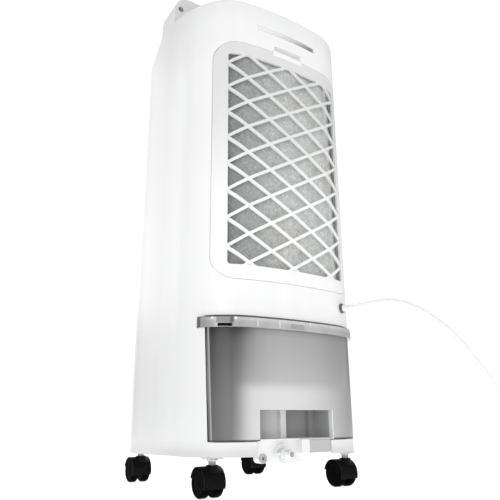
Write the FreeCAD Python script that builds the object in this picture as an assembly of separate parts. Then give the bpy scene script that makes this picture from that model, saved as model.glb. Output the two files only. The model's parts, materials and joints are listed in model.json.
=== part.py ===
import FreeCAD, Part
import math
import os
from FreeCAD import Vector as V

# Tower evaporative cooler. Units mm, +Z up, origin on the floor below the
# middle of the body. Rear (filter cover and water tank) is +Y, outlet -Y.

# ---------------------------------------------------------------- dimensions
HALF_W = 157.42        # widest half width of the cabinet
REAR_Y = 172.04        # apex of the bowed rear face
REAR_R = 592.1         # bow radius of the rear face
CORNER_R = 88.72       # rear corner radius in plan
SIDE_R = 1108.0        # slow taper of the side walls towards the front
FRONT_Y = -184.0       # apex of the bowed front face
FRONT_R = 657.0
FRONT_FILLET = 20.0
WALL = 3.0             # moulded wall
Z_SKIRT = 53.5         # underside of the base
Z_BASE = 73.0          # top of the base moulding
Z_ROOF = 812.5         # rear roof height
Z_SIDE = 838.0         # side wall height under the head
Z_CREST = 842.5        # roof height where it meets the head
Z_HEAD = 904.5         # top of the head
HEAD_REAR = 19.0       # rear face of the head
PART_Y = -140.0        # joint between rear housing and front frame
COVER_X, COVER_Z0, COVER_Z1 = 134.0, 304.5, 724.0
OPEN_X, OPEN_Z0, OPEN_Z1 = 113.5, 327.0, 700.0
LAT_PX, LAT_PZ, LAT_Z0, LAT_W = 40.32, 46.62, 704.5, 5.0
RIM_Z0, RIM_Z1, RIM_OUT = 231.5, 247.5, 5.0
TANK_Z0 = 74.0
GRIP_X, GRIP_Z1, GRIP_Y, GRIP_PAD = 66.0, 116.0, 122.0, 130.0
CASTER_X, CASTER_Y, WHEEL_R, TRAIL = 121.3, 130.6, 20.0, 12.0
FAN_Z, FAN_R = 474.0, 88.0
LV_Z = [612.0, 653.5, 695.0, 736.5, 778.0]   # louvre pivots
LV_Y = -152.0
VN_X = [-75.0, -25.0, 25.0, 75.0]
VN_Y = -118.0
CORD_D = 6.5
HOSE_X = -124.6
DECK_A = math.degrees(math.atan(0.10))

os.makedirs("parts", exist_ok=True)


# ------------------------------------------------------------------- helpers
def box(x0, x1, y0, y1, z0, z1):
    return Part.makeBox(x1 - x0, y1 - y0, z1 - z0, V(x0, y0, z0))


def cyl(r, p, d, h):
    return Part.makeCylinder(r, h, V(*p), V(*d))


def fuse(items):
    s = items[0]
    if len(items) > 1:
        s = s.multiFuse(items[1:])
    return s.removeSplitter()


def cut(a, items):
    return a.cut(Part.makeCompound(items)) if len(items) > 1 else a.cut(items[0])


def rrect(x0, x1, z0, z1, r, y0, y1):
    """rounded rectangle in XZ, extruded along Y"""
    b = box(x0, x1, y0, y1, z0, z1)
    es = [e for e in b.Edges if abs(abs(e.tangentAt(e.FirstParameter).y) - 1) < 1e-6]
    return b.makeFillet(r, es)


def rbox_z(x0, x1, y0, y1, z0, z1, r):
    b = box(x0, x1, y0, y1, z0, z1)
    es = [e for e in b.Edges if abs(abs(e.tangentAt(e.FirstParameter).z) - 1) < 1e-6]
    return b.makeFillet(r, es)


def try_fillet(s, r_list, pick):
    es = [e for e in s.Edges if pick(e)]
    for r in r_list:
        try:
            t = s.makeFillet(r, es)
            if t.isValid() and t.Volume > 0:
                return t
        except Exception:
            pass
    print("fillet skipped on", len(es), "edges")
    return s


_cx = HALF_W - CORNER_R
_phi = math.asin(_cx / (REAR_R - CORNER_R))
_cy = REAR_Y - REAR_R + (REAR_R - CORNER_R) * math.cos(_phi)
_CS = (HALF_W - SIDE_R, _cy)
_CF = (0.0, FRONT_Y + FRONT_R)


def _circ(c0, r0, c1, r1):
    dx, dy = c1[0] - c0[0], c1[1] - c0[1]
    d = math.hypot(dx, dy)
    a = (r0 * r0 - r1 * r1 + d * d) / (2 * d)
    h = math.sqrt(max(r0 * r0 - a * a, 0))
    mx, my = c0[0] + a * dx / d, c0[1] + a * dy / d
    return [(mx + h * dy / d, my - h * dx / d), (mx - h * dy / d, my + h * dx / d)]


_FF = [p for p in _circ(_CS, SIDE_R - FRONT_FILLET, _CF, FRONT_R - FRONT_FILLET) if p[0] > 0 and p[1] < 0][0]
_u2 = math.atan2(_FF[1] - _CS[1], _FF[0] - _CS[0])
_u3 = math.atan2(_FF[1] - _CF[1], _FF[0] - _CF[0])


def plan(off, z0, z1):
    """cabinet plan outline moved inwards by off, extruded z0..z1"""
    def pt(c, r, a, s):
        return V(s * (c[0] + r * math.cos(a)), c[1] + r * math.sin(a), z0)
    es = []
    CR = (0.0, REAR_Y - REAR_R)
    a0 = math.pi / 2 - _phi
    p = pt(CR, REAR_R - off, a0, 1)
    q = pt(CR, REAR_R - off, a0, -1)
    es.append(Part.Arc(q, V(0, REAR_Y - off, z0), p).toShape())
    f0 = pt(_CF, FRONT_R - off, _u3, 1)
    f1 = pt(_CF, FRONT_R - off, _u3, -1)
    es.append(Part.Arc(f0, V(0, FRONT_Y + off, z0), f1).toShape())
    for s in (1, -1):
        c = (_cx, _cy)
        es.append(Part.Arc(pt(c, CORNER_R - off, a0, s), pt(c, CORNER_R - off, a0 / 2, s), pt(c, CORNER_R - off, 0, s)).toShape())
        es.append(Part.Arc(pt(_CS, SIDE_R - off, 0, s), pt(_CS, SIDE_R - off, _u2 / 2, s), pt(_CS, SIDE_R - off, _u2, s)).toShape())
        es.append(Part.Arc(pt(_FF, FRONT_FILLET - off, _u2, s), pt(_FF, FRONT_FILLET - off, (_u2 + _u3) / 2, s), pt(_FF, FRONT_FILLET - off, _u3, s)).toShape())
    w = Part.Wire(Part.__sortEdges__(es))
    return Part.Face(w).extrude(V(0, 0, z1 - z0))


def band(o0, o1, z0, z1):
    return plan(o0, z0, z1).cut(plan(o1, z0 - 1, z1 + 1))


def yz_prism(pts, x0, x1):
    ps = [V(x0, p[0], p[1]) for p in pts]
    return Part.Face(Part.makePolygon(ps + [ps[0]])).extrude(V(x1 - x0, 0, 0))


def one(s):
    ss = sorted(s.Solids, key=lambda q: -q.Volume)
    return ss[0]


NODES = {}


def put(name, shape):
    if isinstance(shape, (list, tuple)):
        shape = Part.makeCompound(list(shape))
    bad = [x for x in shape.Solids if not x.isValid()]
    if bad or not shape.Solids:
        print("CHECK", name, len(shape.Solids), "bad", len(bad))
    shape.exportStep("parts/" + name + ".step")
    NODES[name] = shape
    return shape


def ysurf(x, off=0.0):
    """Y of the rear face at x, moved inwards by off"""
    a = abs(x)
    if a <= (REAR_R - off) * math.sin(_phi):
        return REAR_Y - REAR_R + math.sqrt((REAR_R - off) ** 2 - a * a)
    return _cy + math.sqrt(max((CORNER_R - off) ** 2 - (a - _cx) ** 2, 0))


# ---------------------------------------------------------------- base tray
wall = band(0, WALL, Z_SKIRT - 6, Z_BASE).cut(yz_prism([(-260, 30), (260, 30), (260, Z_SKIRT), (70, Z_SKIRT), (-20, Z_SKIRT - 2.2), (-150, Z_SKIRT - 5.6), (-260, Z_SKIRT - 5.8)], -300, 300))
deck = plan(WALL - 0.5, 66.0, 70.0)
bosses = [cyl(15, (sx * CASTER_X, sy * CASTER_Y, 53.5), (0, 0, 1), 13) for sx in (1, -1) for sy in (1, -1)]
ribs = [box(-148, 148, y - 1, y + 1, 57, 66.5) for y in (-75, 0, 75)] + [box(x - 1, x + 1, -160, 120, 57, 66.5) for x in (-70, 0, 70)]
ribs = [r.common(plan(WALL - 0.5, 50, 80)) for r in ribs]
base = fuse([wall, deck] + [b.common(plan(1.0, 50, 80)) for b in bosses] + ribs)
base = base.cut(box(-62, 71, 121, 200, 40, 80))            # rear notch
for sx in (1, -1):
    for sy in (1, -1):
        base = base.cut(cyl(5.9, (sx * CASTER_X, sy * CASTER_Y, 50), (0, 0, 1), 12))
        for dx, dy in ((11, 11), (11, -11), (-11, 11), (-11, -11)):
            pass
put("base_tray", one(base))

put("tank_rails", [box(s * 95 - 5, s * 95 + 5, -70, 118, 70.0, 73.7) for s in (1, -1)] + [box(-100, 100, -76.5, -73, 70.0, 95)])

plates = []
for sx in (1, -1):
    for sy in (1, -1):
        x, y = sx * CASTER_X, sy * CASTER_Y
        p = rbox_z(x - 13, x + 13, y - 11, y + 11, 51.3, 53.4, 3)
        if sy < 0:
            p = p.common(plan(WALL + 0.25, 45, 60))
        plates.append(p.cut(cyl(5.56, (x, y, 50), (0, 0, 1), 5)))

scr = []
for sx in (1, -1):
    for sy in (1, -1):
        for dx, dy in ((9.5, 7.5), (-9.5, -7.5)):
            x, y = sx * CASTER_X + dx, sy * CASTER_Y + dy
            scr.append(cyl(2.4, (x, y, 49.9), (0, 0, 1), 1.35).common(plan(WALL + 0.25, 45, 60)) if sy < 0 else cyl(2.4, (x, y, 49.9), (0, 0, 1), 1.35))
put("caster_plates", plates + scr)

# ------------------------------------------------------------- rear housing
roof_pts = [(125.0, Z_ROOF), (104.0, 814.7), (89.0, 819.1), (54.0, 832.1), (30.0, 840.1), (18.0, Z_CREST)]


def under_roof(dz):
    sp = Part.BSplineCurve()
    sp.interpolate([V(-200, p[0], p[1] - dz) for p in roof_pts], InitialTangent=V(0, -1, 0), FinalTangent=V(0, -1, 0.0))
    e = [sp.toShape()]
    e.append(Part.makePolygon([V(-200, 18, Z_CREST - dz), V(-200, -200, Z_CREST - dz), V(-200, -200, 0), V(-200, 220, 0), V(-200, 220, Z_ROOF - dz), V(-200, 125, Z_ROOF - dz)]))
    edges = e[0].Edges + e[1].Edges
    w = Part.Wire(Part.__sortEdges__(edges))
    return Part.Face(w).extrude(V(400, 0, 0))


outer = plan(0, Z_BASE + 0.3, 900).common(under_roof(0))
outer = outer.common(box(-300, 300, HEAD_REAR + 0.0, 300, 0, 900))


def roof_edge(e):
    c = e.CenterOfMass
    if c.z < 780 or c.y < HEAD_REAR + 0.5:
        return False
    if abs(c.x) < 1.0 and c.y < 160:
        return False
    return c.z > 780


outer = try_fillet(outer, [5.0, 4.5, 4.0, 3.0], roof_edge)
inner = plan(WALL, 60, 900).common(under_roof(WALL)).common(box(-300, 300, HEAD_REAR - 5, 300, 0, 900))


def roof_edge_in(e):
    c = e.CenterOfMass
    if c.z < 777 or c.y < HEAD_REAR - 4.5:
        return False
    return not (abs(c.x) < 1.0 and c.y < 160)


inner = try_fillet(inner, [2.5, 2.0, 1.5], roof_edge_in)
rear = outer.cut(inner).cut(box(-300, 300, HEAD_REAR - 6, HEAD_REAR + 0.3, Z_SIDE, 900))
side = band(0, WALL, Z_BASE + 0.3, Z_SIDE).common(box(-300, 300, PART_Y, HEAD_REAR, 0, 900))
# stiffening lip round the cover opening
lip = band(WALL - 0.5, 10.0, COVER_Z0 - 12, COVER_Z1 + 12).common(rrect(-146, 146, COVER_Z0 - 11, COVER_Z1 + 3.5, 44, 60, 200))
lip = lip.cut(rrect(-COVER_X - 0.8, COVER_X + 0.8, COVER_Z0 - 8.0, COVER_Z1 + 0.8, 40, 50, 210))
latch_blk = box(-37, 37, 150, 168.9, 726.6, 746).common(plan(WALL - 0.5, 700, 760))
handle_frame = rrect(-67, 67, 756.5, 774, 4, 150, 169).common(plan(WALL - 0.5, 740, 790))
housing = fuse([rear, side, lip.Solids[0] if len(lip.Solids) == 1 else lip, latch_blk])
housing = housing.cut(rrect(-COVER_X - 0.6, COVER_X + 0.6, COVER_Z0 - 0.6, COVER_Z1 + 0.6, 34, 90, 210).cut(box(-300, 300, 0, 90, 0, 900)))
housing = housing.cut(box(-32.2, 32.2, 158, 210, 720, 727.9))       # tab slot
housing = housing.cut(box(-28.5, 28.5, 161.5, 210, 728.6, 738.2))   # finger notch
housing = housing.cut(rrect(-63.5, 63.5, 760.0, 770.6, 1.5, 120, 210))   # handle slot
bay = [V(-133.4, 60, 60), V(133.4, 60, 60), V(138.3, 60, RIM_Z0), V(138.6, 60, 249.5), V(-138.6, 60, 249.5), V(-138.3, 60, RIM_Z0)]
housing = housing.cut(Part.Face(Part.makePolygon(bay + [bay[0]])).extrude(V(0, 150, 0)))       # tank bay
gn = V(-(104.0 - _cx), math.sqrt(CORNER_R ** 2 - (104.0 - _cx) ** 2), 0)
gn.normalize()
GX, GZ = -104.0, 279.6
GP = V(GX, ysurf(GX), GZ)
housing = housing.cut(Part.makeCylinder(6.3, 30, GP - gn * 15, gn))
# the strip with the handle slot and the finger notch is a solid of its own
strip = box(-76, 76, 100, 230, 715, 790)
put("rear_housing", [one(housing.cut(strip)), one(housing.common(strip))])

hp = box(-68, 68, 132, 190, 755.5, 775).common(plan(WALL + 0.3, 740, 790))
hp = hp.cut(rrect(-64.5, 64.5, 759.0, 771.6, 1.5, 134.5, 200))
put("handle_pocket", one(hp))

gland = fuse([Part.makeCylinder(6.0, 12, GP - gn * 6.5, gn), Part.makeCylinder(8.2, 2.2, GP - gn * 5.6, gn), Part.makeCylinder(7.6, 1.6, GP + gn * 0.4, gn),
              Part.makeCone(5.2, 4.2, 22, GP + gn * 2.0, gn)])
gland = gland.cut(Part.makeCylinder(CORD_D / 2, 40, GP - gn * 8, gn))
put("cord_gland", one(gland))

# -------------------------------------------------------------- front frame
ff = band(0, WALL, Z_BASE + 0.3, Z_SIDE).common(box(-300, 300, -300, PART_Y - 0.3, 0, 900))
ffi = band(WALL - 0.5, WALL + 2.5, Z_BASE + 0.3, Z_SIDE).common(box(-300, 300, PART_Y - 8, PART_Y + 6, 0, 900))
ffi = ffi.cut(band(-1, WALL + 0.25, 60, 900).common(box(-300, 300, PART_Y - 0.3, 20, 0, 900)))
ff = fuse([ff] + ffi.Solids)
ff = ff.cut(rrect(-108.5, 108.5, 590.0, 800.5, 12, -220, -150))
put("front_frame", one(ff))

lf = box(-112, 112, -168, -104, 586.5, 804).cut(box(-108.5, 108.5, -170, -100, 590, 800.5))
lf = lf.common(plan(WALL + 0.3, 500, 900))
cuts = []
for z in LV_Z:
    cuts.append(cyl(2.06, (-113, LV_Y, z), (1, 0, 0), 226))
for x in VN_X:
    cuts.append(cyl(2.06, (x, VN_Y, 585), (0, 0, 1), 220))
lf = cut(lf, cuts)
put("louvre_frame", one(lf))

for i, z in enumerate(LV_Z):
    pts = []
    prof = []
    a = math.radians(14)
    for k in range(13):
        t = -1 + 2 * k / 12.0
        prof.append((17.5 * t, 1.6 * (1 - t * t) + 0.7))
    for k in range(12, -1, -1):
        t = -1 + 2 * k / 12.0
        prof.append((17.5 * t, 1.6 * (1 - t * t) * 0.15 - 0.9))
    up = [(LV_Y + p[0] * math.cos(a) - p[1] * math.sin(a), z + p[0] * math.sin(a) + p[1] * math.cos(a)) for p in prof]
    b = yz_prism(up, -107.9, 107.9)
    b = fuse([b, cyl(2.0, (-111.8, LV_Y, z), (1, 0, 0), 223.6)] + [cyl(3.6, (s * 107.9 - (3 if s > 0 else 0), LV_Y, z), (1, 0, 0), 3) for s in (1, -1)])
    put("louvre_%d" % (i + 1), one(b))

for i, x in enumerate(VN_X):
    v = rbox_z(x - 1.0, x + 1.0, VN_Y - 12.5, VN_Y + 12.5, 590.6, 799.9, 0.9)
    v = fuse([v, cyl(2.0, (x, VN_Y, 587), (0, 0, 1), 216.4), cyl(3.4, (x, VN_Y, 590.6), (0, 0, 1), 3), cyl(3.4, (x, VN_Y, 796.9), (0, 0, 1), 3)])
    put("vane_%d" % (i + 1), one(v))

sm = fuse([cyl(14, (VN_X[2], VN_Y, 804.3), (0, 0, 1), 15), box(VN_X[2] - 20, VN_X[2] + 20, VN_Y - 4, VN_Y + 4, 804.3, 807)])
put("swing_motor", one(sm.cut(cyl(2.6, (VN_X[2], VN_Y, 800), (0, 0, 1), 8))))

# ------------------------------------------------------------ air path, fan
bulk = plan(WALL + 0.3, 252, 800).common(box(-300, 300, 60, 63, 0, 900))
bulk = bulk.cut(cyl(80, (0, 50, FAN_Z), (0, 1, 0), 20))
put("bulkhead", one(bulk))

so = fuse([cyl(111.5, (0, -36, FAN_Z), (0, 1, 0), 95.5), box(20, 111.5, -36, 59.5, FAN_Z, 586.0)])
si = fuse([cyl(109.0, (0, -33.5, FAN_Z), (0, 1, 0), 96), box(22.5, 109.0, -33.5, 62, FAN_Z, 590.0)])
sc = so.cut(si).cut(cyl(14, (0, -40, FAN_Z), (0, 1, 0), 12))
put("fan_scroll", one(sc))

du = box(-112, 112, -103.7, 59.5, 586.4, 804).cut(box(-109.5, 109.5, -110, 57, 589, 801.5))
du = du.cut(box(22.5, 109.0, -33.5, 57, 580, 592))
put("air_duct", one(du))

mt = fuse([cyl(36, (0, -96, FAN_Z), (0, 1, 0), 52), cyl(46, (0, -44.5, FAN_Z), (0, 1, 0), 2.5)] +
          [box(-54, -40, -44.5, -36.3, FAN_Z - 7, FAN_Z + 7), box(40, 54, -44.5, -36.3, FAN_Z - 7, FAN_Z + 7), box(-7, 7, -44.5, -36.3, FAN_Z - 54, FAN_Z - 40), box(-7, 7, -44.5, -36.3, FAN_Z + 40, FAN_Z + 54)])
mt = mt.cut(cyl(4.06, (0, -93, FAN_Z), (0, 1, 0), 70))
put("fan_motor", one(mt))
bl = []
nb = 24
for k in range(nb):
    a = 2 * math.pi * k / nb
    p0 = V(70 * math.cos(a), -26, 70 * math.sin(a) + FAN_Z)
    a1 = a + math.radians(5.5)
    pm = V(79 * math.cos(a1), -26, 79 * math.sin(a1) + FAN_Z)
    a2 = a + math.radians(4.0)
    p1 = V(87.4 * math.cos(a2), -26, 87.4 * math.sin(a2) + FAN_Z)
    d = (p1 - p0)
    n = V(-d.z, 0, d.x)
    n.normalize()
    w = Part.Wire([Part.Arc(p0 + n * 0.9, pm + n * 0.9, p1 + n * 0.9).toShape(), Part.makeLine(p1 + n * 0.9, p1 - n * 0.9),
                   Part.Arc(p1 - n * 0.9, pm - n * 0.9, p0 - n * 0.9).toShape(), Part.makeLine(p0 - n * 0.9, p0 + n * 0.9)])
    bl.append(Part.Face(w).extrude(V(0, 70, 0)))
imp = fuse([cyl(FAN_R, (0, -28, FAN_Z), (0, 1, 0), 2.5), cyl(FAN_R, (0, 42, FAN_Z), (0, 1, 0), 3).cut(cyl(69.5, (0, 40, FAN_Z), (0, 1, 0), 8)),
            cyl(12, (0, -30, FAN_Z), (0, 1, 0), 30)] + bl)
imp = imp.cut(cyl(4.0, (0, -40, FAN_Z), (0, 1, 0), 60))
put("impeller", [one(imp), cyl(4.0, (0, -91, FAN_Z), (0, 1, 0), 91.0)])

pf = box(-118, 118, 63.3, 126, 317, 711).cut(box(-114.5, 114.5, 60, 130, 320.5, 707.5))
pf = fuse([pf, box(-118, 118, 83, 85, 317, 711).cut(box(-108, 108, 80, 90, 327, 701))])
put("pad_frame", one(pf))
put("evaporative_pad", box(-114.2, 114.2, 85.2, 125.0, 320.8, 707.2))

tr = fuse([box(-118, 118, 86, 126, 711.3, 733), box(-136, -116, 90, 112, 711.3, 733)])
tr = tr.cut(box(-116, 116, 88, 124, 713.3, 740)).cut(box(-134, -115, 92, 110, 713.3, 740))
tr = cut(tr, [cyl(1.6, (x, 100 + dy, 708), (0, 0, 1), 8) for x in range(-105, 106, 15) for dy in (-4, 12)])
tr = tr.cut(cyl(6.3, (HOSE_X, 100, 705), (0, 0, 1), 12))
put("drip_tray", one(tr))
rp = fuse([cyl(6.0, (HOSE_X, 100, 251), (0, 0, 1), 475), cyl(9.0, (HOSE_X, 100, 251), (0, 0, 1), 8), box(-150.5, -129, 97, 103, 296, 302).common(plan(10.3, 200, 400)),
           box(-150.5, -129, 97, 103, 596, 602).common(plan(10.3, 500, 700))])
rp = rp.cut(cyl(4.4, (HOSE_X, 100, 250), (0, 0, 1), 480))
put("riser_pipe", one(rp))

# --------------------------------------------------------------------- head
def head_prism(o, z0):
    zt = Z_HEAD - o
    m = 0.1038
    pts = [(-36.0, zt), (-49.0 + 0.3 * o, zt - 5.0), (-57.6 + 0.9 * o, zt - 17.0), (-60.6 + o, 876.0), (-62.6 + o, 866.0 - 0.4 * o), (-67.5 + 0.7 * o, 859.6 - 0.8 * o), (-78.0, 856.2 - o)]
    sp = Part.BSplineCurve()
    sp.interpolate([V(-300, p[0], p[1]) for p in pts], InitialTangent=V(0, -1, 0), FinalTangent=V(0, -1, -m))
    poly = [V(-300, -78.0, 856.2 - o), V(-300, -200, 856.2 - o - 122 * m), V(-300, -200, z0), V(-300, HEAD_REAR - o, z0), V(-300, HEAD_REAR - o, zt), V(-300, -36.0, zt)]
    w = Part.Wire(Part.__sortEdges__([sp.toShape()] + Part.makePolygon(poly).Edges))
    return Part.Face(w).extrude(V(600, 0, 0))


def head_solid(o, z0):
    s = plan(o, z0, 920).common(head_prism(o, z0))
    cr = 30.0 - o
    prof = rrect(-(154.6 - o), 154.6 - o, 700, Z_HEAD + 0.5 - o, cr, -63, 60)
    low = box(-300, 300, -300, 300, 700, 866)
    return s.common(fuse([prof, low]))


ho = head_solid(0, 838.3)
def head_edge(e):
    c = e.CenterOfMass
    if c.z < 843.5:
        return False
    if abs(c.x) < 1.0 and -175 < c.y < 18:
        return False
    if c.y > 18 and c.z < 870:
        return False
    return c.y < -50 and c.z < 900


ho = try_fillet(ho, [6, 5, 4, 3, 2], head_edge)
hi = head_solid(WALL, 830)
hd = ho.cut(hi)
bs = [cyl(8.4, (s * 143, HEAD_REAR - 0.5, 876), (0, -1, 0), 22).common(ho) for s in (1, -1)]
hd = fuse([hd] + bs)
for s in (1, -1):
    hd = hd.cut(cyl(5.7, (s * 143, HEAD_REAR + 1, 876), (0, -1, 0), 14)).cut(cyl(1.6, (s * 143, HEAD_REAR, 876), (0, -1, 0), 30))


def deck_place(s):
    s = s.copy()
    s.rotate(V(0, 0, 0), V(1, 0, 0), DECK_A)
    s.translate(V(0, -114.0, 856.6 - 0.0 - (114.0 - 71.0) * 0.1038))
    return s


hd = hd.cut(deck_place(rbox_z(-92.3, 92.3, -32.3, 32.3, -1.7, 10, 6)))
hd = hd.cut(deck_place(rbox_z(-87, 87, -27, 27, -12, 10, 4)))
put("control_head", one(hd))
put("head_screws", [fuse([cyl(3.7, (s * 143, 8.2, 876), (0, -1, 0), 2.2), cyl(1.5, (s * 143, 6.2, 876), (0, -1, 0), 12)]).cut(box(s * 143 - 2.4, s * 143 + 2.4, 7.2, 9, 875.5, 876.5)).cut(box(s * 143 - 0.5, s * 143 + 0.5, 7.2, 9, 873.6, 878.4)) for s in (1, -1)])

BTN_X = [-54.0, -18.0, 18.0, 54.0]
cp = rbox_z(-92.0, 92.0, -32.0, 32.0, -1.6, 0.0, 6)
for x in BTN_X:
    cp = cp.cut(rbox_z(x - 11, x + 11, -19.5, -6.5, -5, 5, 3))
cp = cp.cut(rbox_z(-32, 32, 4, 22, -5, 5, 3))
put("control_panel", one(deck_place(cp)))
put("display_window", one(deck_place(rbox_z(-31.8, 31.8, 4.2, 21.8, -1.5, -0.1, 3))))
for i, x in enumerate(BTN_X):
    b = fuse([rbox_z(x - 10.6, x + 10.6, -19.1, -6.9, -6.5, 1.3, 2.6), rbox_z(x - 12.5, x + 12.5, -21, -5, -6.5, -5.0, 2)])
    b = try_fillet(b, [0.5, 0.3], lambda e: abs(e.CenterOfMass.z - 1.3) < 0.01)
    put("button_%d" % (i + 1), one(deck_place(b)))
pcb = fuse([box(-84, 84, -25, 25, -12.6, -11), box(-30, 30, 5, 21, -11.2, -3.2)] + [box(x - 3, x + 3, -16, -10, -11.2, -8.6) for x in BTN_X])
pcb = fuse([pcb] + [cyl(3, (s * 81, t * 20, -11.2), (0, 0, 1), 9.5) for s in (1, -1) for t in (1, -1)])
put("control_board", one(deck_place(pcb)))

# ------------------------------------------------------------- filter cover
def cells():
    out = []
    xs = [-3, -2, -1, 0, 1, 2, 3]
    def X(c):
        return (c if abs(c) < 3 else (2 + 0.86) * (1 if c > 0 else -1)) * LAT_PX
    for c in range(-3, 4):
        for r2 in range(-1, 18):
            # cell centres: columns of odd index at half rows here
            even_col = ((c + 3) % 2 == 0)
            integer_row = (r2 % 2 == 0)
            if even_col != integer_row:
                continue
            r = r2 / 2.0
            zc = LAT_Z0 - r * LAT_PZ
            xl = X(c - 1) if c > -3 else X(-3) - LAT_PX * 0.86
            xr = X(c + 1) if c < 3 else X(3) + LAT_PX * 0.86
            xm = X(c)
            hz = LAT_PZ / 2.0
            P = [(xl, zc), (xm, zc + hz), (xr, zc), (xm, zc - hz)]
            # inset every side by half a rod
            n = len(P)
            L = []
            for i in range(n):
                a, b = P[i], P[(i + 1) % n]
                dx, dz = b[0] - a[0], b[1] - a[1]
                l = math.hypot(dx, dz)
                nx, nz = dz / l, -dx / l
                L.append((a[0] + nx * LAT_W / 2, a[1] + nz * LAT_W / 2, dx / l, dz / l))
            Q = []
            for i in range(n):
                a = L[i - 1]
                b = L[i]
                det = a[2] * (-b[3]) + b[2] * a[3]
                t = ((b[0] - a[0]) * (-b[3]) + b[2] * (b[1] - a[1])) / det
                Q.append((a[0] + a[2] * t, a[1] + a[3] * t))
            f = Part.Face(Part.makePolygon([V(q[0], 60, q[1]) for q in Q + [Q[0]]]))
            out.append(f.extrude(V(0, 150, 0)))
    return out


win = rrect(-OPEN_X, OPEN_X, OPEN_Z0, OPEN_Z1, 5, 50, 220)
frame = band(0, WALL, COVER_Z0 - 1, COVER_Z1 + 1).common(rrect(-COVER_X, COVER_X, COVER_Z0, COVER_Z1, 33.5, 90, 220))
frame = frame.cut(win)
lat = band(0.8, 4.0, COVER_Z0, COVER_Z1).common(rrect(-OPEN_X - 2, OPEN_X + 2, OPEN_Z0 - 2, OPEN_Z1 + 2, 6, 90, 220))
cc = [c.common(win) for c in cells()]
cc = [s for c in cc for s in c.Solids]
lat = cut(lat, cc)
ring = band(WALL - 0.5, 14.5, COVER_Z0, COVER_Z1).common(rrect(-129.5, 129.5, COVER_Z0 + 3.5, COVER_Z1 - 9.5, 30, 90, 220))
ring = ring.cut(rrect(-127, 127, COVER_Z0 + 6, COVER_Z1 - 12, 28, 50, 220))
feet = [box(x - 9, x + 9, 150, 169, COVER_Z0 - 5.5, COVER_Z0 + 4).common(band(WALL + 0.9, WALL + 3.4, 290, 320)) for x in (-60, 60)]
feet += [box(x - 9, x + 9, 150, 169, COVER_Z0 + 0.5, COVER_Z0 + 4).common(band(WALL - 0.5, WALL + 3.4, 290, 320)) for x in (-60, 60)]
fc = fuse([frame, lat, ring] + feet)
fc = fc.cut(box(-31.9, 31.9, 150, 210, 716.6, 730))
put("filter_cover", one(fc))
dfl = band(12.0, 14.0, COVER_Z0, COVER_Z1).common(rrect(-126.9, 126.9, COVER_Z0 + 6.1, COVER_Z1 - 12.1, 27.9, 90, 220))
put("dust_filter", one(dfl))
tab = band(0.0, WALL, 716.9, 727.4).common(box(-31.5, 31.5, 150, 210, 716.9, 727.4))
tab = fuse([tab, band(WALL - 0.5, 6.0, 717.2, 727.0).common(box(-20, 20, 150, 210, 717.2, 727.0))])
put("latch_tab", one(tab))

# --------------------------------------------------------------- water tank
def tank_solid(o, z0, z1):
    """drafted bin; o moves every wall inwards"""
    def xw(z):
        return 132.0 + (137.0 - 132.0) * (z - TANK_Z0) / (RIM_Z0 - TANK_Z0) - o
    ps = [V(-xw(z0), -60 + o, z0), V(xw(z0), -60 + o, z0), V(xw(z1), -60 + o, z1), V(-xw(z1), -60 + o, z1)]
    s = Part.Face(Part.makePolygon(ps + [ps[0]])).extrude(V(0, 300, 0))
    return s.common(plan(0.2 + o, z0 - 1, z1 + 1))


to = tank_solid(0, TANK_Z0, RIM_Z1 - 3.0)
ti = tank_solid(2.5, TANK_Z0 + 2.5, RIM_Z1 + 4.0)
to = to.cut(box(-GRIP_X, 4.0, GRIP_Y, 220, 60, GRIP_Z1)).cut(box(3.0, GRIP_X, GRIP_PAD, 220, 60, GRIP_Z1))
ti = ti.cut(box(-GRIP_X - 2.5, 6.5, GRIP_Y - 2.5, 220, 60, GRIP_Z1 + 2.5)).cut(box(3.0, GRIP_X + 2.5, GRIP_PAD - 2.5, 220, 60, GRIP_Z1 + 2.5))
tank = to.cut(ti)
tank = fuse([tank, box(-1.0, 9.0, GRIP_PAD - 1.0, 137.6, TANK_Z0 + 2.4, GRIP_Z1 + 0.5), box(9.0, 46.0, GRIP_PAD - 0.5, 134.5, TANK_Z0 + 2.4, TANK_Z0 + 6.0)])
sump = box(-61.4, -19.8, 122.0, 200, 56, TANK_Z0 - 0.2).common(plan(1.5, 50, 80)).cut(box(-59.4, -21.8, 124, 200, 58, TANK_Z0 - 2.2).common(plan(3.5, 50, 80)))
put("water_tank", [one(tank), sump])

rim = band(-RIM_OUT, -0.45, RIM_Z0, RIM_Z1).common(box(-146, 146, 118, 220, 200, 260))
rim_in = band(-RIM_OUT, 0.2, RIM_Z0 + 0.4, RIM_Z1).common(box(-137.9, 137.9, 118, 220, 200, 260))
cap = band(-0.5, 7.5, RIM_Z1 - 3.0, RIM_Z1).common(box(-137.9, 137.9, 118, 220, 200, 260))
rim = fuse([rim, rim_in, cap])
rim = cut(rim, [box(108, 122, 160, 220, RIM_Z0 - 1, RIM_Z0 + 5), box(-122, -108, 160, 220, RIM_Z0 - 1, RIM_Z0 + 5)])
rim = try_fillet(rim, [1.6, 1.2, 0.8], lambda e: e.CenterOfMass.z > RIM_Z1 - 0.01 and e.Length > 100)
put("tank_rim", one(rim))

put("grip_hood", one(fuse([box(-75, 75, 119.5, 200, 118.6, 121), box(-75, 75, 126, 128.5, 118.6, 152)]).common(tank_solid(3.0, 70, 240))))

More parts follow.
